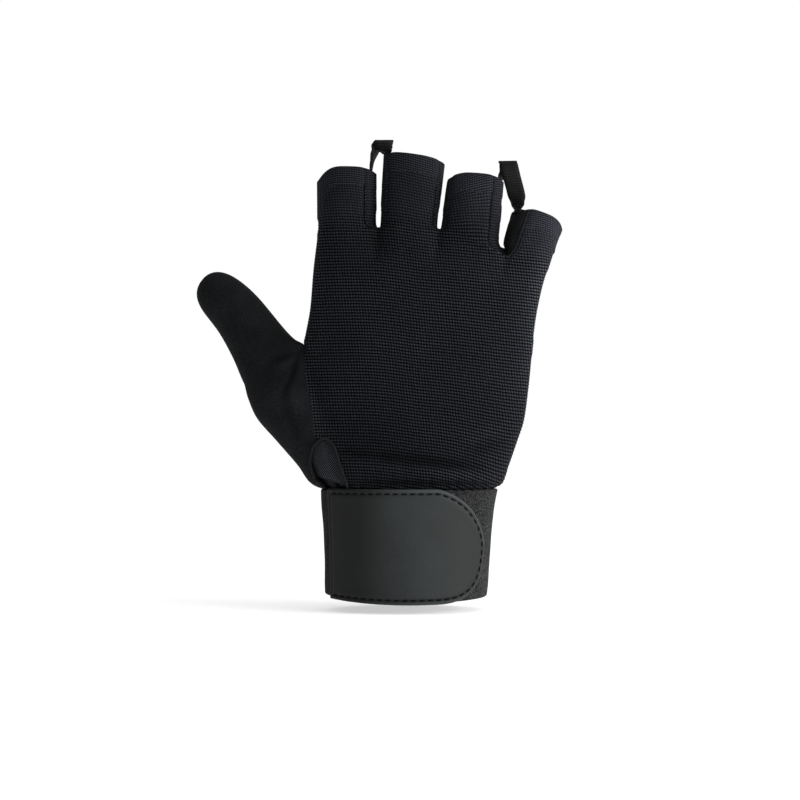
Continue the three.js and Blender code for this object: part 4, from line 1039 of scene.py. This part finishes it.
def inVent(points):
    x, z = points[:, 0], points[:, 2]
    inside = np.zeros(len(points), bool)
    for (x1, z1), (x2, z2) in zip(ventCut, np.roll(ventCut, -1, axis=0)):
        if z1 != z2:
            inside ^= ((z1 > z) != (z2 > z)) & (x < (x2 - x1) * (z - z1) / (z2 - z1) + x1)
    return inside & (points[:, 1] < 0)


def quadsOf(owner):
    return (glove.owner == owner) & ~inVent(glove.outer[glove.quads].mean(axis=1))


bodyTree = BVHTree.FromPolygons(glove.points.tolist(), glove.quads.tolist(), epsilon=0)
normalTree = treeOf(glove.points)


def normalAt(p):
    near = normalTree.find_n(p, 8)
    return unit(sum(glove.normals[i] / (d + 0.2) for _, i, d in near))


def normalsAt(path):
    return np.array([normalAt(p) for p in path])


def overBack(x, z, out=0.0):  # a point over the back, seen from the front at x, z
    hit = bodyTree.ray_cast((x, -200, z), (0, 1, 0))[0] or bodyTree.find_nearest((x, -10, z))[0]
    normal = normalAt(hit)
    return np.array(hit) + normal * out, normal


# ---- the cut pieces


def cutPiece(name, owner, material, nodes):
    chosen = quadsOf(owner)
    quads, cloths = glove.quads[chosen], glove.cloths[chosen]
    edges = edgesOf(quads)
    edges = edges[(shares[edges] > 1).all(axis=1)]  # its seams, drawn back a little
    pull = np.zeros_like(glove.outer)
    for end in (0, 1):
        i = edges[:, end]
        way = unit(glove.outer[edges[:, 1]] - glove.outer[edges[:, 0]])
        np.add.at(pull, i, np.cross(glove.normals[i], way))
    pull = unit(pull) * cloth["drawn"]
    points, faces, uv, used = closedCloth(quads, cloths, glove.outer + pull, glove.inside + pull, 0.3)
    faces, uv = dropFlat(faces, uv)
    piece = newPiece(name, points, faces, material, nodes, uv)
    for mark, values in (("hem", hemmed), ("fold", paintedFoldShade), ("calm", calmed)):
        whole = np.zeros(len(points))
        whole[:2 * len(used)] = np.tile(values[used], 2)
        addMark(piece, mark, whole)
    # the spots' mark: painted light and shade
    addMark(piece, "paintedLight", paintedLightAt(points))
    return piece


wallNodes = ("fourchette_index_middle", "fourchette_middle_ring", "fourchette_ring_little")
backPiece = cutPiece("knitBack", "back", knit, ["back_panel"])
palmNodes = ["palm_panel"] + ["palm_panel_" + side for side in fingerNames]
palmPiece = cutPiece("suedePalm", "palm", suede, palmNodes)
thumbPiece = cutPiece("thumb", "thumb", twill, ["thumb_shell"])
wallPieces = [cutPiece(name, name, fineKnit, [node]) for name, node in zip(wallNames, wallNodes)]


def littleSide(piece, material):  # another finish on the little finger's side of the last fork
    piece.data.materials.append(material)
    for face in piece.data.polygons:
        face.material_index = int(face.center.x > acrossHand(finger["forks"][2][0]) * mm)


littleSide(wallPieces[2], suede)
print("cut pieces made")

piping = {"radius": (0.38, 0.38, 0.55), "lift": 0.1}
for k, name in enumerate(wallNames):
    path = np.vstack([fingerWall(k, True, np.zeros(61), 1 - spaced(60)),
                      fingerWall(k + 1, False, np.zeros(61), spaced(60))[1:]])
    normals = normalsAt(path)
    tube = tubeRings(path + normals * piping["lift"], normals, piping["radius"][k])
    pipe = loftPiece(name + "Piping", tube, fineKnit)
    if k == 2:
        littleSide(pipe, forkCord)

ridge = {"beside": 1.5, "radius": 0.42, "lift": 0.05}  # a second one, on the knit of the little finger
ridgePath = np.array([fingerWall(3, False, np.array(0.0), np.array(up)) for up in spaced(60)[2:]])
ridgeNormals = normalsAt(ridgePath)
ridgeSide = unit(np.cross(np.gradient(ridgePath, axis=0), ridgeNormals))
ridgeSide *= np.sign(ridgeSide[:, :1])
besidePath = [overBack(x, z, ridge["lift"])[0] for x, _, z in ridgePath + ridgeSide * ridge["beside"]]
loftPiece("forkRingLittleRidge", tubeRings(besidePath, ridgeNormals, ridge["radius"]), forkCord)

ventPath, ventNormals = zip(*[overBack(x, z, 0.15) for x, z in ventLine])
ventRings = tubeRings(ventPath, np.array(ventNormals), vent["cord"], 12)
loftPiece("ventBinding", ventRings, cordCloth, ["vent_binding"])
ventAt = [np.interp(spaced(200), spaced(60), ventLine[:, i]) for i in (0, 1)]


def gussetPoint(t, u, out):
    half = max(u, 0) / 2
    left = np.array([np.interp(half, spaced(200), column) for column in ventAt])
    right = np.array([np.interp(1 - half, spaced(200), column) for column in ventAt])
    below = 0.6 * cuff["tuck"] + left[1] - cuff["height"]
    reach = vent["hidden"] * (1 - u ** 2) * mix(0.7, 1, float(ease(3 * u)))
    z = mix(left[1], right[1], t) + (below * u if u < 0 else 0.8 * vent["hidden"] * u)
    neckEdge = mix(-0.478, -0.56, float(arcEase((z - neckFoot + 0.4) / hand["neckRise"]))) * cuff["width"]
    leftX = left[0] - reach if u >= 0 else max(left[0] - 0.3 * reach, neckEdge)
    crease = vent["fold"]
    place = (t - crease["at"] - crease["slant"] * (1 - u)) / crease["width"]
    fold = crease["height"] * math.exp(-place ** 2) * float(ease(1.2 - u))
    swell = vent["swell"] * math.sin(math.pi * min(max(t, 0), 1)) * float(ease(0.4 + u))
    sunk = vent["sunk"] * max(0.28 - u, 0)
    return overBack(mix(leftX, right[0] + reach, t), z, out + fold + swell - sunk)[0]


gussetRows = np.concatenate([[-1, -0.7, -0.35, -0.15], spaced(26)])
gussetColumns = spaced(22)
sections = []
for u in gussetRows:
    outerRow = [gussetPoint(t, u, -vent["deep"]) for t in gussetColumns]
    innerRow = [gussetPoint(t, u, -vent["deep"] - vent["wall"]) for t in gussetColumns[::-1]]
    sections.append(outerRow + innerRow)
gussetPiece = loftPiece("ventGusset", sections, gussetCloth, ["vent_gusset"])
print("vent made")


# ---- cuff and tab

footRise = {"middle": 0.4, "thumbSide": 2.4, "otherSide": 1.4}


def footLift(angle, z):
    cos = np.cos(angle)
    side = np.where(cos < 0, footRise["thumbSide"], footRise["otherSide"])
    return (footRise["middle"] + side * cos ** 2) * np.clip(1 - z / cuff["height"], 0, 1) ** 2


cuffAngles = np.linspace(0, 2 * np.pi, 280 if fine else 90, endpoint=False)
profile = [(z, 0.0) for z in np.linspace(0.9, 47.1, 60 if fine else 16)]
profile = [(0.12, 0.55), (0.4, 0.18)] + profile + [(47.6, 0.18), (47.88, 0.55), (47.88, 1.45), (47.6, 1.82)]
profile += [(z, 2.0) for z in np.linspace(47.1, 0.9, 16)] + [(0.4, 1.82), (0.12, 1.45)]
heights, insets = np.array(profile).T
angleGrid, heightGrid = np.meshgrid(cuffAngles, heights, indexing="ij")
rings = cuffRing(angleGrid, heightGrid, insets[None, :])
rings = rings + (unit(rings * [1, 1, 0]) * (0.12 * waves(rings, 6, 6, 22))[..., None])
rings[..., 2] += footLift(angleGrid, heightGrid)
cuffPiece = loftPiece("cuff", rings, elastic, ["cuff_band"], closed=True)
# the spots' mark on the cuff: painted light and shade
addMark(cuffPiece, "paintedLight", paintedLightAt(rings.reshape(-1, 3)))

tab = {
    "height": 49, "wall": 1.6, "start": -152, "end": -29, "gap": 0.3, "inset": 2.0,
    "round": 42, "power": {1: 1.55, -1: 2.5},  # its round end is fuller below, -1, than above, 1
    "stitch": {"pitch": 3.6, "length": 2.4, "thick": 0.62},
}
tabReach = np.radians(np.linspace(tab["start"], tab["end"], 2000))
tabFoot = cuffRing(tabReach, np.full(2000, cuff["height"] / 2), -tab["gap"] - tab["wall"])
tabLength = np.concatenate([[0], np.cumsum(np.linalg.norm(np.diff(tabFoot, axis=0), axis=1))])


def tabHalf(length, side):
    angle = np.degrees(np.interp(length, tabLength, tabReach))
    into = np.clip((angle - tab["end"] + tab["round"]) / tab["round"], 0, 1)
    power = tab["power"][side]
    return tab["height"] / 2 * (1 - into ** power) ** (1 / power)


def tabPoint(length, z, out):
    angle = np.interp(length, tabLength, tabReach)
    ring = cuffRing(angle, np.clip(z, 0, cuff["height"]), -out)
    return point(ring[..., 0], ring[..., 1], z + footLift(angle, z))


outlineLength = tabLength[-1] * (1 - (1 - spaced(700)) ** 1.8)
outline = np.vstack([np.stack([outlineLength, -tabHalf(outlineLength, -1)], axis=-1),
                     np.stack([outlineLength, tabHalf(outlineLength, 1)], axis=-1)[::-1]])
straightEnd = np.linspace(-tab["height"] / 2, tab["height"] / 2, 200)
outlineTree = treeOf([(s, z, 0) for s, z in outline] + [(0, z, 0) for z in straightEnd])


def fromEdge(s, z):
    return outlineTree.find((s, z, 0))[2]


edgeSteps = np.array([0, 0.1, 0.25, 0.45, 0.7, 1.0, 1.35, 1.65, 1.85, 2.0, 2.15, 2.35, 2.7, 3.3,
                      4.5, 6.5, 9, 12, 15, 18, 21])  # closer at the edge and at the stitches
edgeShares = edgeSteps / (tab["height"] / 2)
columns = np.concatenate([edgeShares - 1, [0], 1 - edgeShares[::-1]])
lengths = np.unique(np.concatenate([edgeSteps[:14], np.linspace(4, tabLength[-1] * 0.62, 40),
                                    tabLength[-1] * (0.62 + 0.38 * (1 - (1 - spaced(70)) ** 2.2))]))
s = np.repeat(lengths[:, None], len(columns), axis=1)
upper, lower = [np.maximum(tabHalf(lengths, side), 0.02)[:, None] for side in (1, -1)]
z = np.where(columns > 0, upper, lower) * columns
away = np.array([[fromEdge(*spot) for spot in zip(*row)] for row in zip(s, z)])
lift = tab["wall"] * (0.35 + 0.65 * arcEase(away / 0.8))  # rounded at the edge
lift += 0.12 * bump(away - 3.4, 1.2) - 0.3 * bump(away - tab["inset"], 0.5)  # drawn in by its stitches
ringZ = cuff["height"] / 2 + np.hstack([z, z[:, ::-1]])
outs = np.hstack([tab["gap"] + lift, np.full_like(z, tab["gap"])])
tabPiece = loftPiece("tab", tabPoint(np.hstack([s, s]), ringZ, outs), leather, ["closure_tab"])

# painted highlight along the tab's rim, stronger on its upper half, and a painted shine at its lower right
edge = (1 - ease((away - 1.0) / 0.8)) * ease((s - 20) / 30) + bump(away, 0.4) * 0.6
shine = 2.2 * bump(away, 0.5) * ease((s - 46) / 14) * ease(-z / 10)
edge = edge * np.where(z > 0, 1.9, 0.8) + shine
paintedEndShade = 0.18 + 0.92 * ease((s - 14) / 20) - 0.92 * ease((s - 44) / 26)  # painted shade: darker at both ends
seam = bump(away - tab["inset"], 0.6) * ease((s - 4) / 40) * ease(-z / 12)  # and along the foot's stitches
paintedEndShade = paintedEndShade * (1 - seam)
addMark(tabPiece, "edge", np.hstack([edge, np.zeros_like(z)]).ravel())
addMark(tabPiece, "paintedEndShade", np.hstack([paintedEndShade, np.full_like(z, 0.5)]).ravel())

away = unit(np.gradient(outline, axis=0))
inset = outline + np.stack([-away[:, 1], away[:, 0]], axis=-1) * tab["inset"]
inset = np.array([spot for spot in inset if fromEdge(*spot) > tab["inset"] - 0.06])
stitchOut = np.full(len(inset), tab["gap"] + tab["wall"] - 0.2)
threadPath = tabPoint(inset[:, 0], cuff["height"] / 2 + inset[:, 1], stitchOut)
threadNormals = unit(threadPath * [1, 1, 0] / [(cuff["width"] / 2) ** 2, (cuff["depth"] / 2) ** 2, 1])
stitchRow("tabStitches", threadPath, threadNormals, tab["stitch"], darkThread)

sideStitch = {"x": -34.1, "from": 8.6, "to": 35, "look": {"pitch": 2.6, "length": 0.9, "thick": 0.5}}
sideZ = np.linspace(sideStitch["from"], sideStitch["to"], 60)
sideAngle = -np.arccos(sideStitch["x"] / (cuff["width"] / 2 * cuffThumbSide(sideZ / cuff["height"])))
sidePath = cuffRing(sideAngle, sideZ, -0.05)
stitchRow("cuffStitches", sidePath, unit(sidePath * [1, 1, 0]), sideStitch["look"], paleThread)
print("cuff and tab made")


# ---- hem stitches of the fingertips

hemStitch = {"up": 7.2, "lift": 0.25, "look": {"pitch": 2.1, "length": 1.4, "thick": 0.24}}
for k, side in enumerate(fingerNames):
    t = np.linspace(0.42 if k == 0 else 0.04, 0.97, 50)
    path = fingerStrip(k, -1, t, np.full(50, 1 - hemStitch["up"] / fingerLength(k)))
    normals = normalsAt(path)
    lifted = path + normals * hemStitch["lift"]
    stitchRow(side + "HemStitches", lifted, normals, hemStitch["look"], paleThread)


# ---- pull loops

ribbon = {"width": 8, "wall": 1, "rise": 11, "start": 0.62}  # start: share of the first finger's height
ribbonInset = cloth["wall"] + finger["hemRise"] + ribbon["wall"] / 2


def legFoot(k, atRight, up):
    wall = fingerWall(k, atRight, np.array(0.5), np.array(float(up)))
    return np.array([wall[0] + (-ribbonInset if atRight else ribbonInset), 0, wall[2]])


def ribbonPiece(name, stops, node, steps=120):
    shares = spaced(steps)
    middle = smoothLine([at for at, _ in stops], shares)
    places = shares * (len(stops) - 1)
    i = np.minimum(places.astype(int), len(stops) - 2)
    wides = np.array([wide for _, wide in stops], float)
    wide = unit(mix3(wides[i], wides[i + 1], ease(places - i)))
    way = unit(np.gradient(middle, axis=0))
    flat = unit(np.cross(wide, way))
    half, thick = ribbon["width"] / 2, ribbon["wall"] / 2
    face = [(-half + 0.1, -thick), (-half / 2, -thick), (0, -thick), (half / 2, -thick), (half - 0.1, -thick),
            (half, -0.2 * thick), (half, 0.2 * thick)]
    rings = np.stack([middle + wide * a + flat * b for a, b in face + [(-a, -b) for a, b in face]], axis=1)
    return loftPiece(name, rings, ribbonCloth, [node])


# stops: across from rim to rim, depth in ribbon widths, which rim its height is from, height to the top,
# way of the ribbon's width
indexLoop = {"first": 0, "end": 0.62, "rise": 1.3, "node": "pull_loop_index", "stops": [
    (0.06, 0.08, 0, 0.35, (0.08, 1, 0)), (0.22, 0.2, 0, 0.68, (0.28, 0.96, 0)),
    (0.5, 0.27, 0, 0.93, (0.8, 0.6, 0.05)), (0.7, 0.12, 0, 1, (1, 0.15, 0)),
    (0.72, -0.1, 0, 0.99, (1, -0.1, 0)), (0.7, -0.24, 1, 0.55, (0.9, -0.4, 0)),
    (0.86, -0.12, 1, 0.24, (0.5, -0.85, 0))]}
littleLoop = {"first": 2, "end": 0.5, "rise": 0.83, "node": "pull_loop_little", "stops": [
    (0.3, 0.2, 0, 0.45, (0.5, 0.85, 0)), (0.44, 0.27, 0, 0.93, (0.8, 0.6, 0)),
    (0.46, 0, 0, 1, (0.78, -0.2, 0)), (0.6, -0.28, 0, 0.34, (1, 0, -0.05)),
    (0.79, -0.38, 1, 0.436, (1, -0.25, -0.08)), (0.88, -0.3, 1, 0.23, (0.58, -0.75, -0.05)),
    (0.91, -0.15, 1, 0.09, (0.15, -0.98, 0))]}
for name, loop in (("pullLoopIndex", indexLoop), ("pullLoopLittle", littleLoop)):
    k = loop["first"]
    low, rim = [legFoot(k, True, up) for up in (ribbon["start"], 1)]
    endLow, endRim = [legFoot(k + 1, False, up) for up in (loop["end"], 1)]
    top = rim[2] + loop["rise"] * ribbon["rise"]
    stops = [(low, (0, 1, 0)), (rim, (0, 1, 0))]
    for across, depth, far, up, wide in loop["stops"]:
        height = mix((rim, endRim)[far][2], top, up)
        stops.append(((mix(rim[0], endRim[0], across), depth * ribbon["width"], height), wide))
    ribbonPiece(name, stops + [(endRim, (0, -1, 0)), (endLow, (0, -1, 0))], loop["node"])
print("pull loops made")


# ---- areas of the cloth pieces, with the flat sizes of their cuts in millimetres, which nothing else uses


def areaOf(quads):
    a, b, c, d = [glove.points[quads[:, i]] for i in range(4)]
    return float(np.linalg.norm(np.cross(c - a, d - b), axis=1).sum() / 2) * mm * mm


def cutSheet(owner, wide):
    area = areaOf(glove.quads[quadsOf(owner)])
    wide * mm


named = bpy.data.objects
cutSheet("back", 126)
cutSheet("palm", 126)
cutSheet("thumb", 86)
for piece, wide, long in zip(wallPieces, (17, 16, 17.5), (66, 64, 62)):
    extras = [named[piece.name + "Piping"]] + [named["forkRingLittleRidge"]] * (piece is wallPieces[2])
    cutSheet(piece.name, wide)


# ---- floor, light and camera

floorMesh = bpy.data.meshes.new("floor")
floorZ, floorHalf = -0.004, 6
corners = [(x * floorHalf, y * floorHalf, floorZ) for x, y in ((-1, -1), (1, -1), (1, 1), (-1, 1))]
floorMesh.from_pydata(corners, [], [(0, 1, 2, 3)])
floor = bpy.data.objects.new("floor", floorMesh)
scene.collection.objects.link(floor)
floorFinish = Finish("paleFloor", Roughness=0.8, Specular_IOR_Level=0.0, Emission_Color=(1, 1, 1, 1),
                     Emission_Strength=0.535)
floorFinish.colour(floorFinish.noise(0.002), {"dark": (0.695, 0.695, 0.695), "light": (0.71, 0.71, 0.71)})
floorMesh.materials.append(floorFinish.material)

# soft light all round, more of it from the right and from above
studio = {"ambient": 0.36, "fromRight": 0.36, "fromAbove": 0.46}
world = bpy.data.worlds.new("studio")
world.use_nodes = True
sky = Nodes(world.node_tree)
way = sky.node("SeparateXYZ", {}, {0: sky.node("TexCoord", {}, {}).outputs["Generated"]})
aside, above = [Value(sky, way.outputs[i]) for i in (0, 2)]
glow = (aside * studio["fromRight"] + above * studio["fromAbove"] + studio["ambient"]).most(0.03)
seen = Value(sky, sky.node("LightPath", {}, {}).outputs["Is Camera Ray"])  # the backdrop itself is white
sky.tree.links.new((glow + (1 - glow) * seen).socket, sky.tree.nodes["Background"].inputs["Strength"])
sky.tree.nodes["Background"].inputs["Color"].default_value = (1, 1, 1, 1)
scene.world = world
scene.view_settings.view_transform = "Standard"

key = {"place": (1.3, -0.55, 0.3), "width": 1.0, "power": 30.0, "aim": (0, 0, 0.1)}
light = bpy.data.lights.new("key", "AREA")
light.size, light.energy = key["width"], key["power"]
lamp = bpy.data.objects.new("key", light)
lamp.location = key["place"]
lamp.rotation_euler = (Vector(key["aim"]) - Vector(key["place"])).to_track_quat("-Z", "Y").to_euler()
scene.collection.objects.link(lamp)

camera = bpy.data.objects.new("camera", bpy.data.cameras.new("camera"))
camera.data.sensor_width, camera.data.lens = 36, 104.65
camera.location = (-0.003, -1.0, 0.086)
camera.rotation_euler = (math.pi / 2, 0, 0)
scene.collection.objects.link(camera)
scene.camera = camera
